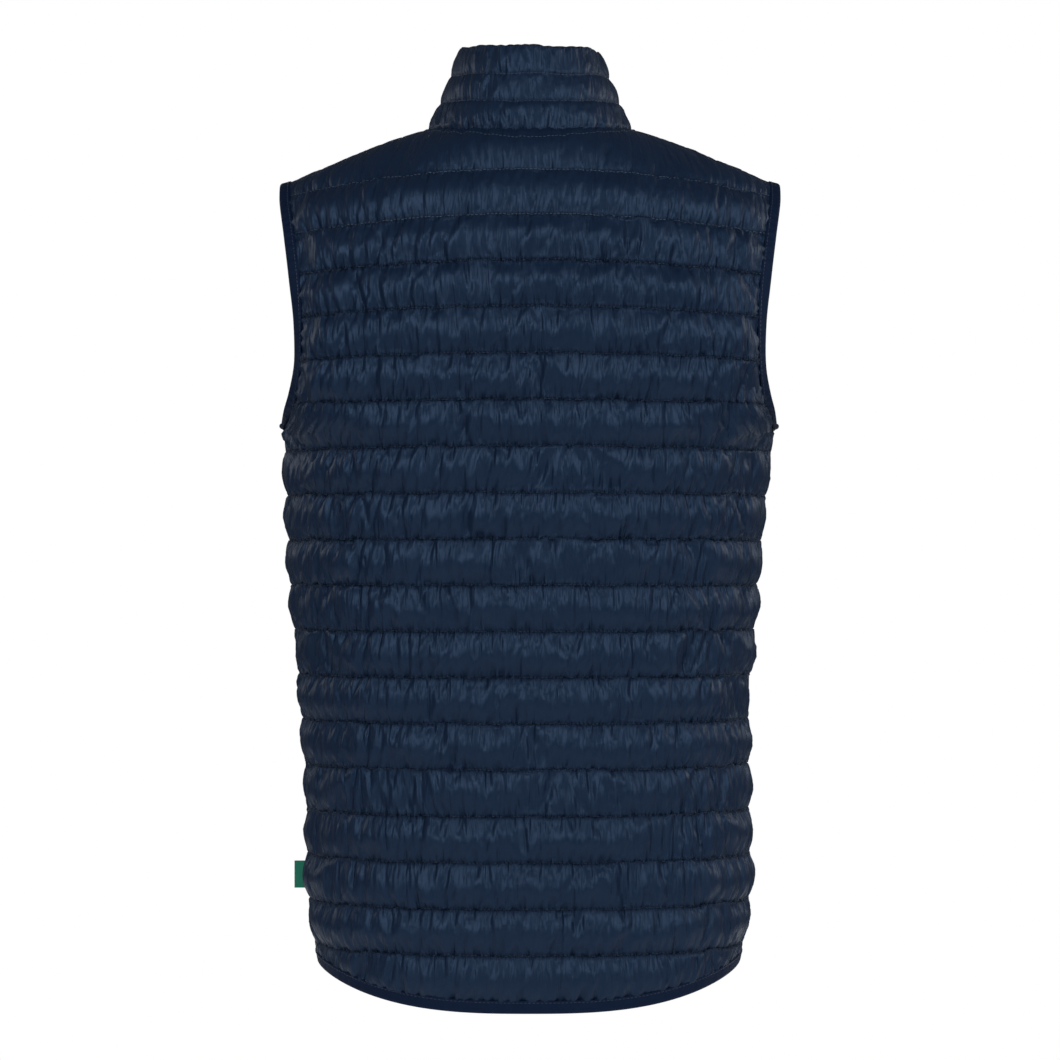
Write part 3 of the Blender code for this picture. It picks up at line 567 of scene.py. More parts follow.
# for each point: metres across and up, height of its channel, distance to the stitches below and above
def panelPlaces(form, channel, middle):
    steps = np.linalg.norm(np.diff(form, axis=1), axis=2)
    across = np.concatenate((np.zeros((len(form), 1)), np.cumsum(steps, axis=1)), axis=1)
    edgeGap = np.minimum(across, across[:, -1:] - across)
    across = across - across[:, middle:middle + 1]
    ahead = unit(np.gradient(form, axis=1))
    ahead = (ahead[1:] + ahead[:-1]) / 2
    climb = np.diff(form, axis=0)
    climb = climb - ahead * np.sum(climb * ahead, axis=2, keepdims=True)
    up = np.concatenate((np.zeros((1, form.shape[1])), np.cumsum(np.linalg.norm(climb, axis=2), axis=0)))
    height, low = np.zeros_like(up), np.zeros_like(up)
    for k in np.unique(channel):
        rows = np.nonzero(channel == k)[0]
        top = min(rows[-1] + 1, len(up) - 1)
        height[rows] = up[top] - up[rows[0]]
        low[rows] = up[rows] - up[rows[0]]
    return Settings(across=across, up=up, edgeGap=edgeGap, height=height, low=low, high=height - low)


gather = Settings(frames=9, growLeast=0.028, growMost=0.060, levels=20, cap=0.008)
clothSettings = {
    "quality": 4, "mass": 0.02, "tension_stiffness": 15, "compression_stiffness": 15, "shear_stiffness": 5,
    "bending_stiffness": 0.01, "tension_damping": 5, "compression_damping": 5, "shear_damping": 5,
    "bending_damping": 0.5, "air_damping": 1.0, "use_pressure": True, "uniform_pressure_force": 0.35,
    "vertex_group_mass": "stitches", "vertex_group_shrink": "loose",
    "shrink_min": -gather.growMost, "shrink_max": 0.0}


# the shell is cut larger than the wall and held at its stitches, so it swells and creases between them
def puffUp(piece, start, held, fullness, calm):
    stitches = piece.vertex_groups.new(name="stitches")
    stitches.add(np.nonzero(held.ravel())[0].tolist(), 1.0, "REPLACE")
    loose = piece.vertex_groups.new(name="loose")
    growth = gather.growMost + (gather.growLeast - gather.growMost) * fullness
    grades = np.rint((1 - growth * calm / gather.growMost).ravel() * gather.levels).astype(int)
    for grade in range(gather.levels + 1):
        loose.add(np.nonzero(grades == grade)[0].tolist(), grade / gather.levels, "REPLACE")
    cloth = piece.modifiers.new("puff", "CLOTH")
    for name, value in clothSettings.items():
        setattr(cloth.settings, name, value)
    cloth.settings.effector_weights.gravity = 0
    cloth.collision_settings.use_collision = False
    cloth.collision_settings.use_self_collision = False
    cloth.point_cache.frame_start = 1
    cloth.point_cache.frame_end = gather.frames
    for step in range(1, gather.frames + 1):
        bpy.context.scene.frame_set(step)
    bpy.ops.object.modifier_apply(modifier="puff")
    bpy.context.scene.frame_set(1)
    piece.vertex_groups.clear()
    move = readPoints(piece, start.shape[:2]) - start
    far = np.linalg.norm(move, axis=2, keepdims=True)
    return start + move * np.minimum(1.0, gather.cap / np.maximum(far, tiny))


# spacing, depth and slant of the creases at the stitches, and of the longer folds across a channel
stitchCrease = Settings(gap=(0.006, 0.013), depth=(0.0011, 0.0040), slant=0.35)
channelFold = Settings(gap=(0.03, 0.09), depth=(0.0008, 0.0027), slant=0.8)
creaseKinds = {"low": stitchCrease, "high": stitchCrease, "fold": channelFold}
pucker = Settings(
    length=(0.010, 0.036), longest=0.8, fade=0.8, width=0.0019, widthSpread=(0.85, 1.5), widen=0.06,
    foldWidth=1.4, foldFade=0.6, window=0.008, windowSlant=0.04, leastColumns=3, fine=0.0005,
    fineScale=0.0042, fineReach=0.0028, seeds=1 << 30)


# creases that run from the stitches into the channel above and below
def puckers(places, channel, seed, strength):
    draw = np.random.default_rng(seed)
    across = places.across
    shift = np.zeros_like(across)
    for k in np.unique(channel):
        rows = np.nonzero(channel == k)[0]
        row = across[rows[len(rows) // 2]]
        endRows = across[rows[[0, -1]]]
        tall = np.maximum(places.height[rows[0]], 1e-4)
        for end, kind in creaseKinds.items():
            distance = getattr(places, "low" if end == "fold" else end)[rows]
            at = row[0]
            while at < row[-1]:
                at += draw.uniform(*kind.gap)
                length = draw.uniform(*pucker.length)
                depth = draw.uniform(*kind.depth)
                slant = draw.uniform(-1, 1) * kind.slant
                width = pucker.width * draw.uniform(*pucker.widthSpread)
                reach = pucker.window + abs(slant) * pucker.windowSlant
                first = min(np.searchsorted(ends, at - reach) for ends in endRows)
                last = max(np.searchsorted(ends, at + reach) for ends in endRows)
                if last - first < pucker.leastColumns:
                    continue
                away, room = distance[:, first:last], tall[first:last]
                if end == "fold":
                    fall = np.sin(np.pi * np.clip(away / room, 0, 1)) ** pucker.foldFade
                    wide = width * pucker.foldWidth
                else:
                    longest = np.minimum(length, pucker.longest * room)
                    fall = np.clip(1 - away / longest, 0, 1) ** pucker.fade
                    wide = width + pucker.widen * away
                side = across[rows, first:last] - at - slant * away
                shift[rows, first:last] -= depth * fall * np.exp(-(side / wide) ** 2)
            if end != "fold":
                pulls = wave(across[rows], pucker.fineScale, int(draw.integers(pucker.seeds)))
                near = np.exp(-distance / pucker.fineReach) * (distance > closeBy)
                shift[rows] += pucker.fine * pulls * near
    return shift * strength


# the inside of the wall is a coarser grid, joined to the outside round its rim
def closeWall(piece, inside, flat, seam, material):
    lining = addGrid(piece.name + "Inside", inside[:, ::-1], flat[:, ::-1], seam[:, ::-1], material)
    pick(lining, piece)
    bpy.ops.object.join()
    with editing():
        bpy.ops.mesh.select_mode(type="EDGE")
        bpy.ops.mesh.select_all(action="DESELECT")
        bpy.ops.mesh.select_non_manifold(extend=False, use_wire=False, use_boundary=True,
                                         use_multi_face=False, use_non_contiguous=False, use_verts=False)
        bpy.ops.mesh.bridge_edge_loops()


def padShape(phase):
    return (1 - np.abs(2 * phase - 1) ** padding.round) ** padding.roundPower


def wallOffset(pad, fade, low, high):
    return padding.rim + (low + (high - low) * pad - padding.rim) * fade


uneven = Settings(
    puff=0.13, puffScale=0.09, drift=0.0003, driftScale=0.05, driftReach=0.008, fold=0.0004,
    foldScale=0.010, foldSlant=0.5, looseScale=0.12, loose=0.35)
# each padded piece's seed, and what is added to it for each of its draws
seeds = Settings(back=11, left=23, right=37, collar=53)
seedSteps = {"puff": 50, "drift": 150, "loose": 300, "slant": 500, "fold": 700, "pucker": 900}


# uneven padding and stitch lines that wander a little, channel by channel
def unevenPadding(form, out, pad, fade, places, channel, seed, calm):
    across, up = places.across, places.up
    form, out = form.copy(), out.copy()
    loose = np.full_like(out, 0.5)
    for k in np.unique(channel):
        rows = channel == k
        first = np.nonzero(rows)[0][0]
        draws = {name: seed + step + int(k) for name, step in seedSteps.items()}
        slant = np.random.default_rng(draws["slant"]).uniform(-1, 1) * uneven.foldSlant
        puff = 1 + uneven.puff * wave(across[rows], uneven.puffScale, draws["puff"])
        folds = wave(across[rows] + slant * places.low[rows], uneven.foldScale, draws["fold"])
        out[rows] = out[rows] * puff + uneven.fold * calm[rows] * folds * pad[rows]
        loose[rows] += uneven.loose * wave(across[rows], uneven.looseScale, draws["loose"])
        if first > 0:
            drift = uneven.drift * wave(across[first], uneven.driftScale, draws["drift"])
            near = np.exp(-((up - up[first]) / uneven.driftReach) ** 2)
            form[:, :, 2] += near * drift * fade
    return form, out, np.clip(loose, 0, 1)


# one padded, quilted piece: the outside simulated, the inside plainer, closed round the rim
def quiltedPiece(name, form, phase, channel, middle, seed, strength, pad, calm, after=None, turnOver=None):
    places = panelPlaces(form, channel, middle)
    calm = np.broadcast_to(calm, form.shape[:2])
    fade = smoothStep(places.edgeGap / padding.fade)
    tall = np.clip(places.height / padding.fullHeight, padding.leastTall, 1.0)
    pad = pad[:, None] * fade * tall
    out = wallOffset(pad, fade, padding.outLow, padding.outHigh)
    form, out, loose = unevenPadding(form, out, pad, fade, places, channel, seed, calm)
    normals = gridNormals(form)
    start = form + normals * out[..., None]
    flat = np.stack((places.across, places.up), axis=2)
    stitchGap = np.minimum(places.low, places.high)
    # closeness to the stitches, less where the piece is calm; the shell's material paints shade along the
    # stitch grooves and in the creases by it
    seam = np.exp(-stitchGap / padding.seamReach) * (0.5 + 0.5 * calm)
    piece = addGrid(name, start, flat, seam, shellCloth)
    held = np.zeros(form.shape[:2], dtype=bool)
    held[phase < tiny] = True
    held[[0, -1]] = True
    held[:, [0, -1]] = True
    points = puffUp(piece, start, held, loose, calm)
    shift = puckers(places, channel, seed + seedSteps["pucker"], strength(places)) * fade * tall
    if after is not None:
        shift = shift + after(places)
    points = points + normals * shift[..., None]
    inner = wallOffset(pad, fade, padding.inLow, padding.inHigh)
    inside = form - normals * inner[..., None]
    if turnOver is not None:
        points, flat, seam = turnOver(points, inside, form, flat, seam)
        bpy.data.objects.remove(piece, do_unlink=True)
        piece = addGrid(name, points, flat, seam, shellCloth)
    piece.data.vertices.foreach_set("co", points.ravel())
    piece.data.update()
    thin = slice(None, None, padding.coarse)
    wallRows = slice(None, len(form), padding.coarse)
    closeWall(piece, inside[thin, thin], flat[wallRows, thin], seam[wallRows, thin], shellCloth)
    stageDone(f"{name}: {len(piece.data.polygons)} faces")
    return piece, points[:len(form)], normals, places


levels = panelLevels()
phases = np.array([level[3] for level in levels])
channels = np.array([level[2] for level in levels])
halfColumns = padding.halfColumns


# how deep the creases are: most in the middle and higher up, less over the shoulders
backCrease = Settings(
    least=0.55, middle=0.45, half=0.16, high=0.2, highFrom=0.1, highSpan=0.5, calm=0.55, calmFrom=0.612,
    calmSpan=0.035)
frontCrease = Settings(least=0.6, most=0.4, place=0.10, half=0.12)


def backStrength(places):
    middle = np.exp(-(places.across / backCrease.half) ** 2)
    high = smoothStep((places.up - backCrease.highFrom) / backCrease.highSpan)
    over = smoothStep((places.up - backCrease.calmFrom) / backCrease.calmSpan)
    calm = 1 - backCrease.calm * over
    return (backCrease.least + backCrease.middle * middle + backCrease.high * high) * calm


def frontStrength(places):
    beside = (np.abs(places.across) - frontCrease.place) / frontCrease.half
    return frontCrease.least + frontCrease.most * np.exp(-beside ** 2)


neckStitch = Settings(below=0.0125, width=0.0018, depth=0.0011, half=0.125, fade=0.01, short=0.008)


# the row of stitches that holds the neck seam down
def neckGroove(places):
    below = np.exp(-((places.high - neckStitch.below) / neckStitch.width) ** 2)
    ends = smoothStep((neckStitch.half - np.abs(places.across)) / neckStitch.fade)
    return -neckStitch.depth * ((channels == 0)[:, None] * below) * ends


# the channel over the shoulder is thinly filled, least at the shoulder seam
yoke = Settings(fill=0.55, thinner=0.60, calm=0.25, nextCalm=0.6)
panelPad = padShape(phases)
panelPad[channels == 0] *= yoke.fill * (1 - yoke.thinner * phases[channels == 0])
panelCalm = np.where(channels == 0, yoke.calm, np.where(channels == 1, yoke.nextCalm, 1.0))[:, None]

backShape = easeUnderarm(panelForm(levels, "back"))
leftShape, rightShape = [easeUnderarm(panelForm(levels, "front", side)) for side in (1, -1)]
stageDone("form worked out")
backPanel, backPoints, backNormals, backPlaces = quiltedPiece(
    "backPanel", backShape, phases, channels, halfColumns, seeds.back, backStrength, panelPad, panelCalm,
    neckGroove)
frontLeft, leftPoints, leftNormals, leftPlaces = quiltedPiece(
    "frontLeft", leftShape, phases, channels, 0, seeds.left, frontStrength, panelPad, panelCalm)
frontRight, rightPoints, rightNormals, rightPlaces = quiltedPiece(
    "frontRight", rightShape, phases, channels, halfColumns, seeds.right, frontStrength, panelPad, panelCalm)

collarEdge = Settings(
    calm=0.3, fill=0.8, hold=0.45, rollRows=5, rollMap=0.002, wave=0.0009, waveScale=0.05, waveHalf=0.22,
    waveSeed=71, tilt=0.035, seamCalm=1.0, seamRows=0.4)
collarCrease = Settings(least=0.22, middle=0.30, half=0.06, seam=0.8, seamReach=0.012, seamPlace=0.02)
collarShape, collarShares = collarForm()
collarPlace = collarShares * collarTop.channels
collarPhase = np.minimum(collarPlace % 1.0, 1.0)
collarPhase[np.isclose(collarPhase, 1.0)] = 0.0
collarPhase[-1] = 1.0
collarChannel = np.minimum((collarPlace + closeBy).astype(int), collarTop.channels - 1)
collarRun = np.linspace(-collarEdge.waveHalf, collarEdge.waveHalf, collarTop.columns + 1)
collarWave = wave(collarRun, collarEdge.waveScale, collarEdge.waveSeed)
collarShape[:, :, 2] += (collarEdge.wave * collarShares ** 2)[:, None] * collarWave
collarTilt = collarEdge.tilt * collarShares[:, None] ** 2
collarShape[:, :, 2] += collarTilt * np.minimum(collarShape[:, :, 0], 0.0)


def collarPad():
    pad = padShape(collarPhase)
    top = (collarChannel == collarTop.channels - 1) & (collarPhase > 0.5)
    pad[top] = collarEdge.hold + (1 - collarEdge.hold) * pad[top]
    return pad * collarEdge.fill


def collarStrength(places):
    across, half = places.across, collarCrease.half
    atSeam = (collarChannel == 0)[:, None] * np.exp(-places.low / collarCrease.seamReach)
    middle = collarCrease.least + collarCrease.middle * np.exp(-(across / half) ** 2)
    beside = np.exp(-((across - collarCrease.seamPlace) / half) ** 2)
    return middle + collarCrease.seam * atSeam * beside


# the shell turns over the collar's top edge in a round
def collarTurn(points, inside, form, flat, seam):
    upward = unit(form[-1] - form[-2])
    middle = (points[-1] + inside[-1]) / 2
    half = (points[-1] - inside[-1]) / 2
    size = np.linalg.norm(half, axis=1, keepdims=True)
    rows, flatRows = [], []
    for turn in np.linspace(0, np.pi, collarEdge.rollRows + 2)[1:-1]:
        rows.append(middle + half * np.cos(turn) + upward * size * np.sin(turn))
        flatRows.append(flat[-1] + np.array((0.0, collarEdge.rollMap)) * turn)
    points = np.concatenate((points, np.array(rows)))
    flat = np.concatenate((flat, np.array(flatRows)))
    seam = np.concatenate((seam, np.zeros((len(rows), seam.shape[1]))))
    return points, flat, seam


# at the collar's neck seam the rows keep full calm: they gather more there and take the full painted shade
# along the seam
collarCalm = np.where((collarChannel == 0) & (collarPhase < collarEdge.seamRows),
                      collarEdge.seamCalm, collarEdge.calm)
collar, collarPoints, collarNormals, _ = quiltedPiece(
    "standCollar", collarShape, collarPhase, collarChannel, collarTop.columns // 2, seeds.collar,
    collarStrength, collarPad(), collarCalm[:, None], turnOver=collarTurn)


# folded elastic tape sewn round a raw edge
tape = Settings(
    noseSteps=7, lipShare=0.4, waver=0.8, waverScale=0.012, seed=5, joinReach=0.01, flatNose=0.8,
    sewnShare=0.35, sewnLift=0.00005)


def tapeProfile(shape):
    turns = np.linspace(0, np.pi / 2, tape.noseSteps)[1:]
    bend, half, wall, share = shape.bend, shape.half, shape.wall, tape.lipShare
    straight = shape.nose - bend
    lip = (-shape.overlap * share, shape.start * (1 - share) + half * share)
    outer = [(-shape.overlap, shape.start), lip, (straight, half)]
    inner = [(reach, rise - wall) for reach, rise in outer]
    outer += [(straight + bend * math.sin(t), half * math.cos(t)) for t in turns]
    inner += [(straight + (bend - wall) * math.sin(t), (half - wall) * math.cos(t)) for t in turns]
    flip = np.array((1.0, -1.0))
    sides = np.array(outer), np.array(inner)
    outside, inside = [np.concatenate((side, side[-2::-1] * flip)) for side in sides]
    return np.concatenate((outside, inside[::-1], outside[:1])), outside, inside


def evenStations(length, count, *tracks):
    at = np.linspace(0.0, length[-1], count + 1)
    return at, [readTrack(at, length, track) for track in tracks]


def softened(track, width, closed):
    reach = np.arange(-3 * width, 3 * width + 1)
    weights = np.exp(-(reach / width) ** 2)
    ends = (3 * width, 3 * width)
    run = track[:-1] if closed else track
    padded = np.pad(run, (ends, (0, 0)), mode="wrap" if closed else "edge")
    result = np.stack([np.convolve(padded[:, c], weights / weights.sum(), "valid") for c in range(3)], axis=1)
    return np.concatenate((result, result[:1])) if closed else result


def edgeWay(edge, inner, normals):
    out = np.cross(np.gradient(edge, axis=0), normals)
    out *= np.sign(np.sum(out * (edge - inner), axis=1))[:, None]
    return unit(out)


def foldedTape(name, edge, out, normals, shape, closed, material):
    length = runLength(edge)
    count = int(length[-1] / shape.step)
    at, (edge, out, normals) = evenStations(length, count, edge, out, normals)
    edge = softened(edge, shape.soften, closed)
    tangent = np.gradient(edge, axis=0)
    if closed:
        tangent[0] = tangent[-1] = edge[1] - edge[-2]
    tangent = unit(tangent)
    out = softened(out, shape.soften * 2, closed)
    out = unit(out - tangent * np.sum(out * tangent, axis=1, keepdims=True))
    rise = np.cross(tangent, out)
    rise *= np.sign(np.sum(rise * normals))
    ring, outside, inside = tapeProfile(shape)
    waver = tape.waver * wave(at, tape.waverScale, tape.seed)
    ripple = 1 + shape.ripple * (np.sin(2 * np.pi * at / shape.rippleGap) + waver)
    if closed:
        join = np.exp(-np.minimum(at, at[-1] - at) / tape.joinReach)
        ripple = ripple * (1 - join) + join
    rippled = ring[None, :, 0] < shape.nose * tape.flatNose
    lift = ring[None, :, 1] * (1 + (ripple[:, None] - 1) * rippled)
    points = edge[:, None] + out[:, None] * ring[None, :, :1] + rise[:, None] * lift[..., None]
    flat = np.stack(np.broadcast_arrays(at[:, None], runLength(ring)[None, :]), axis=2)
    piece = addGrid(name, points, np.ascontiguousarray(flat), np.zeros(points.shape[:2]), material)
    with editing():
        bpy.ops.mesh.select_all(action="SELECT")
        bpy.ops.mesh.remove_doubles(threshold=closeBy)
        if not closed:
            bpy.ops.mesh.fill_holes(sides=0)
        bpy.ops.mesh.select_all(action="SELECT")
        bpy.ops.mesh.normals_make_consistent(inside=False)
    cut = (runLength(outside)[-1] + runLength(inside)[-1]) / 2
    sewn = edge - out * shape.overlap * tape.sewnShare + rise * (shape.start + tape.sewnLift)
    return piece, (cut, at[-1]), (sewn, rise)


armholeTape = Settings(
    nose=0.0070, half=0.0021, bend=0.0030, overlap=0.0030, start=0.0022, wall=0.0007, step=0.0015, soften=3,
    ripple=0.09, rippleGap=0.0072, outward=0.7)
hemTape = Settings(
    nose=0.0085, half=0.0017, bend=0.0024, overlap=0.0024, start=0.0020, wall=0.0007, step=0.0018, soften=3,
    ripple=0.07, rippleGap=0.0078)
# columns at a piece's first and last edge, with the one beside it that shows which way is out
edgeColumns = {"first": (0, 4), "last": (-1, -5)}
armholeRowsAt = [i for i, level in enumerate(levels)
                 if level[0] == "yoke" or level[0] == "body" and level[1] >= sideSeam.underarmRow - closeBy]


def armholeEdge(form, which):
    at, inner = edgeColumns[which]
    edge, normals = form[armholeRowsAt, at], gridNormals(form)[armholeRowsAt, at]
    return edge, edgeWay(edge, form[armholeRowsAt, inner], normals), normals


def armholeBinding(name, frontShape, side):
    backPart = armholeEdge(backShape, "first" if side > 0 else "last")
    frontPart = armholeEdge(frontShape, "last" if side > 0 else "first")
    edge, out, normals = [np.concatenate((b, f[-2::-1])) for b, f in zip(backPart, frontPart)]
    out = unit(out + np.array((side * armholeTape.outward, 0.0, 0.0)))
    return foldedTape(name, edge, out, normals, armholeTape, True, looks["bindingTape"])


def hemBinding():
    parts = []
    for form in (leftShape, backShape, rightShape):
        normals = gridNormals(form)[0]
        parts.append((form[0], edgeWay(form[0], form[3], normals), normals))
    edge, out, normals = [np.concatenate((a, b[1:], c[1:])) for a, b, c in zip(*parts)]
    return foldedTape("hemBinding", edge, out, normals, hemTape, False, looks["bindingTape"])


bindingLeft, leftCut, leftSewn = armholeBinding("armholeBindingLeft", leftShape, 1)
bindingRight, rightCut, rightSewn = armholeBinding("armholeBindingRight", rightShape, -1)
bindingHem, hemCut, hemSewn = hemBinding()
stageDone("bindings folded round the edges")

# bare folded tab in the left side seam
labelTab = Settings(
    nose=0.0110, half=0.00062, bend=0.0009, overlap=0.0030, start=0.0006, wall=0.0004, step=0.0008,
    soften=2, ripple=0.0, rippleGap=1.0, middle=-0.632, tall=0.024, proud=0.0021, rows=31)


def sideLabel():
    count = labelTab.rows
    edge = np.empty((count, 3))
    edge[:, 0] = (readCurve(sideCurve, labelTab.middle, 1) + readCurve(sideCurve, labelTab.middle, 2)
                  + labelTab.proud)
    edge[:, 1] = sideSeam.depth
    edge[:, 2] = np.linspace(-0.5, 0.5, count) * labelTab.tall + labelTab.middle
    out, normals = np.tile((1.0, 0.0, 0.0), (count, 1)), np.tile((0.0, 1.0, 0.0), (count, 1))
    return foldedTape("sideLabel", edge, out, normals, labelTab, False, looks["labelWeave"])


label, labelCut, _ = sideLabel()

# front zip: tapes behind the front edges, teeth between them
zipper = Settings(
    tapeEdge=0.0016, tuck=0.0060, tapeThick=0.0008, depth=0.0017, step=0.003, soften=3,
    tooth=(0.0033, 0.0022, 0.00085), toothGap=0.00125, toothSide=0.0009, firstTooth=0.0008, belowTop=0.0078,
    bevel=0.00025)
bodyRows = [i for i, level in enumerate(levels)
            if level[0] == "hem" or level[0] == "body" and level[1] <= lines[1] + tiny]


def zipSide(form, side):
    at, inner = (0, 3) if side > 0 else (-1, -4)
    tracks = []
    for points, rows in ((form, bodyRows), (collarShape, range(1, len(collarShape)))):
        inward = -gridNormals(points)
        rows = list(rows)
        tracks.append((points[rows, at], points[rows, inner], inward[rows, at], inward[rows, inner]))
    edge, beside, edgeIn, besideIn = [np.concatenate(pair) for pair in zip(*tracks)]
    behind = edge + edgeIn * zipper.depth
    tucked = edge + unit(beside - edge) * zipper.tuck + unit(edgeIn + besideIn) * zipper.depth
    middle = behind.copy()
    middle[:, 0] += side * (zipper.tapeEdge - frontEdgeX)
    return middle, behind, tucked


def zipTape(name, form, side):
    middle, behind, tucked = zipSide(form, side)
    length = runLength(middle)
    at, tracks = evenStations(length, int(length[-1] / zipper.step), middle, (middle + behind) / 2, behind,
                              (behind + tucked) / 2, tucked)
    points = np.stack([softened(track, zipper.soften, False) for track in tracks], axis=1)
    wide = np.linspace(0.0, frontEdgeX - zipper.tapeEdge + zipper.tuck, points.shape[1])
    flat = np.stack(np.broadcast_arrays(at[:, None], wide[None, :]), axis=2)
    if side < 0:
        points, flat = points[:, ::-1], flat[:, ::-1]
    points, flat = np.ascontiguousarray(points), np.ascontiguousarray(flat)
    piece = addGrid(name, points, flat, np.zeros(points.shape[:2]), looks["zipTapeWeave"])
    shell = piece.modifiers.new("thickness", "SOLIDIFY")
    shell.thickness = zipper.tapeThick
    shell.offset = 0.0
    bpy.ops.object.modifier_apply(modifier="thickness")
    return piece, (wide[-1], at[-1]), middle


# edges bent more than this stay sharp on small shapes
sharpAngle = math.radians(50)


# many copies of one small shape, as one piece
def copies(name, seed, origin, axes, material):
    pick(seed)
    verts = readPoints(seed, (len(seed.data.vertices),))
    faces = [tuple(face.vertices) for face in seed.data.polygons]
    everyPoint = origin[:, None] + np.einsum("vk,nkc->nvc", verts, axes)
    everyFace = [tuple(v + n * len(verts) for v in face) for n in range(len(origin)) for face in faces]
    seed.data.clear_geometry()
    seed.data.from_pydata(everyPoint.reshape(-1, 3).tolist(), [], everyFace)
    seed.data.materials.clear()
    seed.data.materials.append(material)
    seed.name = seed.data.name = name
    bpy.ops.object.shade_smooth_by_angle(angle=sharpAngle)
    return seed


def zipTeeth(path):
    length = runLength(path)
    at = np.arange(zipper.firstTooth, length[-1] - zipper.belowTop, zipper.toothGap)
    middle = readTrack(at, length, path)
    along = unit(np.gradient(middle, axis=0))
    across = np.tile((1.0, 0.0, 0.0), (len(at), 1))
    forward = unit(np.cross(across, along))
    side = np.where(np.arange(len(at)) % 2 == 0, 1.0, -1.0)
    pick()
    bpy.ops.mesh.primitive_cube_add(size=1.0)
    tooth = bpy.context.object
    with editing():
        bpy.ops.transform.resize(value=zipper.tooth)
        bpy.ops.mesh.bevel(offset=zipper.bevel, segments=1, affect="EDGES")
    axes = np.stack((across * side[:, None], forward, along), axis=1)
    origin = middle + across * (side * zipper.toothSide)[:, None]
    return copies("zipTeeth", tooth, origin, axes, looks["zipMetal"])


zipLeft, zipLeftCut, leftPath = zipTape("zipTapeLeft", leftShape, 1)
zipRight, zipRightCut, rightPath = zipTape("zipTapeRight", rightShape, -1)
teeth = zipTeeth((leftPath + rightPath) / 2)
stageDone("zip tapes and teeth")


# slider, foot box and pull tab: the frame's own shapes with their edges eased
easing = Settings(
    flat=math.radians(2), bevelFrom=math.radians(40), sharp=math.radians(35), segments=3, slider=0.00022,
    box=0.0006, pull=0.0003)


def easedCopy(name, node, ease):
    piece = bpy.data.objects.new(name, bpy.data.objects[node].data.copy())
    piece.data.name = name
    bpy.context.collection.objects.link(piece)
    pick(piece)
    with editing():
        bpy.ops.mesh.select_all(action="SELECT")
        bpy.ops.mesh.remove_doubles(threshold=closeBy)
        bpy.ops.mesh.dissolve_limited(angle_limit=easing.flat)
    edges = piece.modifiers.new("ease", "BEVEL")
    edges.width = ease
    edges.segments = easing.segments
    edges.angle_limit = easing.bevelFrom
    bpy.ops.object.modifier_apply(modifier="ease")
    bpy.ops.object.shade_smooth_by_angle(angle=easing.sharp)
    piece.data.materials.clear()
    piece.data.materials.append(looks["zipMetal"])
    return piece


slider = easedCopy("zipSlider", "zip_slider", easing.slider)
footBox = easedCopy("zipFootBox", "zip_box", easing.box)
pullTab = easedCopy("zipPullTab", "zip_pull", easing.pull)

# thread: one rounded grain for each stitch that shows
stitch = Settings(
    gap=0.0034, length=0.0027, width=0.0006, height=0.0005, lift=0.00012, proud=0.0003, yokeLines=2,
    inset=0.005, sides=5, rings=4)


def threadRuns(name, runs, look, lift):
    origins, axes = [], []
    for line, normals in runs:
        length = runLength(line)
        at = np.arange(stitch.gap, length[-1] - stitch.gap / 2, stitch.gap)
        place, up, ahead = [readTrack(at, length, track)
                            for track in (line, normals, np.gradient(line, length, axis=0))]
        ahead, up = unit(ahead), unit(up)
        side = unit(np.cross(up, ahead))
        over = np.cross(ahead, side) * stitch.height
        origins.append(place + up * lift)
        axes.append(np.stack((ahead * stitch.length, side * stitch.width, over), axis=1))
    pick()
    bpy.ops.mesh.primitive_uv_sphere_add(segments=stitch.sides, ring_count=stitch.rings, radius=0.5)
    grain = bpy.context.object
    with editing():
        bpy.ops.mesh.select_all(action="SELECT")
        bpy.ops.transform.rotate(value=math.pi / 2, orient_axis="Y", center_override=(0.0, 0.0, 0.0))
    return copies(name, grain, np.concatenate(origins), np.concatenate(axes), looks[look])


def quiltRuns(points, normals, phase):
    rows = [row for row in range(1, len(phase) - 1) if phase[row] < tiny]
    return [(points[row, 2:-2], normals[row, 2:-2]) for row in rows]


def insetColumn(points, normals, places, fromFirst):
    line, up = [], []
    for row in bodyRows:
        run = places.across[row] - places.across[row, 0]
        at = [stitch.inset if fromFirst else run[-1] - stitch.inset]
        line.append(readTrack(at, run, points[row])[0])
        up.append(readTrack(at, run, normals[row])[0])
    return np.array(line), np.array(up)


def neckRun():
    line, up = [], []
    rows = np.nonzero(channels == 0)[0][::-1]
    at = [neckStitch.below]
    for column in np.nonzero(np.abs(backPlaces.across[-1]) < neckStitch.half - neckStitch.short)[0]:
        below = backPlaces.high[rows, column]
        line.append(readTrack(at, below, backPoints[rows, column])[0])
        up.append(readTrack(at, below, backNormals[rows, column])[0])
    return np.array(line), np.array(up)


leftEdging = insetColumn(leftPoints, leftNormals, leftPlaces, True)
rightEdging = insetColumn(rightPoints, rightNormals, rightPlaces, False)
threads = {}
for name, points, normals, edging, neckLine in (
        ("back", backPoints, backNormals, [], [neckRun()]),
        ("left", leftPoints, leftNormals, [leftEdging], []),
        ("right", rightPoints, rightNormals, [rightEdging], [])):
    runs = quiltRuns(points, normals, phases)
    low, high = runs[:-stitch.yokeLines] + edging, runs[-stitch.yokeLines:] + neckLine
    threads[name] = threadRuns(name + "Thread", low, "quiltThread", stitch.lift)
    threads[name + "Yoke"] = threadRuns(name + "YokeThread", high, "yokeThread", stitch.proud)
collarRuns = quiltRuns(collarPoints, collarNormals, collarPhase)
threads["collar"] = threadRuns("collarThread", collarRuns, "quiltThread", stitch.lift)
bindingThread = threadRuns("bindingThread", [leftSewn, rightSewn, hemSewn], "quiltThread", stitch.lift)
stageDone("thread laid along the quilting")

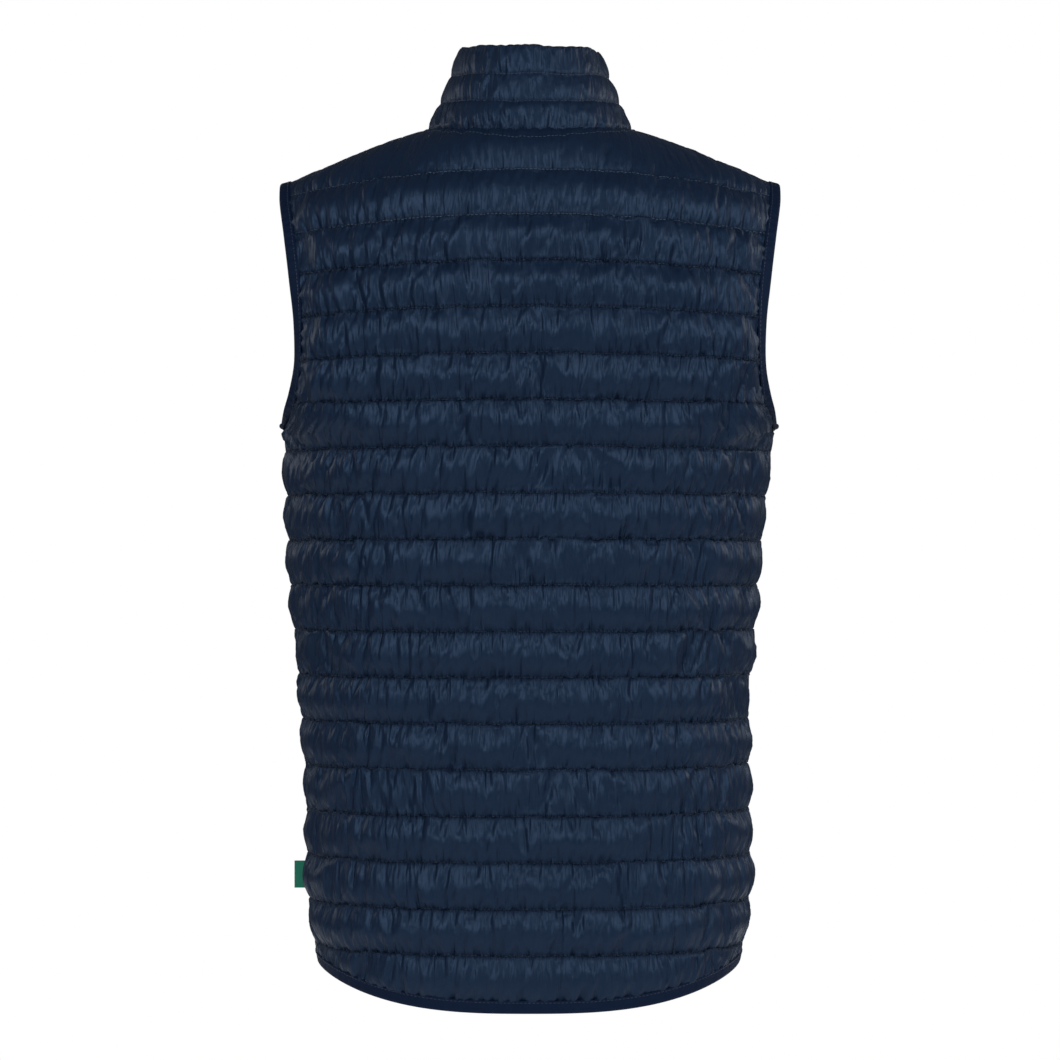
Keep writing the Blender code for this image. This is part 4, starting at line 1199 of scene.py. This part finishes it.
# studio: pale floor below the frame, two big soft lights behind the camera's shoulders, weaker ones in front
studio = Settings(
    floor=-1.1, floorSize=1.6, floorSides=96, floorTones=((0.78,) * 3, (0.82,) * 3), floorScale=6.0,
    room=0.07, white=1.0, aim=(0.0, 0.0, -0.35))
softLights = {
    "keyLeft": {"place": (1.2, 2.4, 0.60), "size": (1.1, 2.1), "power": 43.0},
    "keyRight": {"place": (-2.0, 2.1, 0.68), "size": (1.1, 2.1), "power": 45.0},
    "frontLeft": {"place": (1.3, -2.9, 0.70), "size": (2.2, 2.2), "power": 72.0, "shine": False},
    "frontRight": {"place": (-1.5, -2.8, 0.70), "size": (2.2, 2.2), "power": 78.0, "shine": False},
    "sideLeft": {"place": (2.9, -1.3, 0.60), "size": (1.2, 1.2), "power": 12.0},
    "sideRight": {"place": (-2.9, -1.1, 0.60), "size": (1.2, 1.2), "power": 18.0},
}


def addLights():
    for name, light in softLights.items():
        aim = (Vector(studio.aim) - Vector(light["place"])).to_track_quat("-Z", "Y").to_euler()
        bpy.ops.object.light_add(type="AREA", location=light["place"], rotation=aim)
        lamp = bpy.context.object
        lamp.name = name + "Light"
        lamp.data.shape = "RECTANGLE"
        lamp.data.size, lamp.data.size_y = light["size"]
        lamp.data.energy = light["power"]
        lamp.visible_glossy = light.get("shine", True)


def addStudio():
    world = bpy.data.worlds.new("studioRoom")
    bpy.context.scene.world = world
    world.use_nodes = True
    tree = world.node_tree
    seen = addNode(tree, "ShaderNodeLightPath").outputs["Is Camera Ray"]
    room = tree.nodes["Background"]
    room.inputs["Color"].default_value = (1.0, 1.0, 1.0, 1.0)
    tree.links.new(spread(tree, seen, studio.room, studio.white), room.inputs["Strength"])
    bpy.context.scene.view_settings.view_transform = "Standard"
    material, tree, shader = newMaterial("paleFloor", {"Roughness": 0.8, "Specular IOR Level": 0.2})
    tone = noiseOn(tree, objectMap(tree), studio.floorScale)
    tree.links.new(mixed(tree, tone, *studio.floorTones), shader.inputs["Base Color"])
    pick()
    bpy.ops.mesh.primitive_circle_add(vertices=studio.floorSides, radius=studio.floorSize,
                                      fill_type="NGON", location=(0.0, 0.0, studio.floor))
    floor = bpy.context.object
    floor.name = "studioFloor"
    floor.data.materials.append(material)


addCamera()
addLights()
addStudio()

# what each piece rides on and stands for
def settle(piece, bodyName, node=None):
    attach(piece, bodyName)
    if node:
        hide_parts(node)


shellPieces = {backPanel: "back_panel", frontLeft: "front_left", frontRight: "front_right", collar: "collar"}
for piece, node in shellPieces.items():
    settle(piece, "vest", node)
for piece in threads.values():
    settle(piece, "vest")
settle(bindingThread, "vest")
sheets = {
    bindingLeft: ("binding", "armhole_binding_left", leftCut, "stretched", [backPanel, frontLeft]),
    bindingRight: ("binding", "armhole_binding_right", rightCut, "stretched", [backPanel, frontRight]),
    bindingHem: ("binding", "hem_binding", hemCut, "stretched", [backPanel, frontLeft, frontRight]),
    label: ("label", "side_label", labelCut, "folded", [backPanel, frontLeft]),
    zipLeft: ("zip_tape", "zip_tape_left", zipLeftCut, "hung", [frontLeft]),
    zipRight: ("zip_tape", "zip_tape_right", zipRightCut, "hung", [frontRight]),
}
for piece, (slot, node, cut, held, carriers) in sheets.items():
    settle(piece, "vest", node)
for piece, node, bodyName in ((teeth, "zip_chain", "vest"), (slider, "zip_slider", "vest"),
                              (footBox, "zip_box", "vest"), (pullTab, "zip_pull", "pull")):
    settle(piece, bodyName, node)

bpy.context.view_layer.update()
stageDone("all pieces in place")
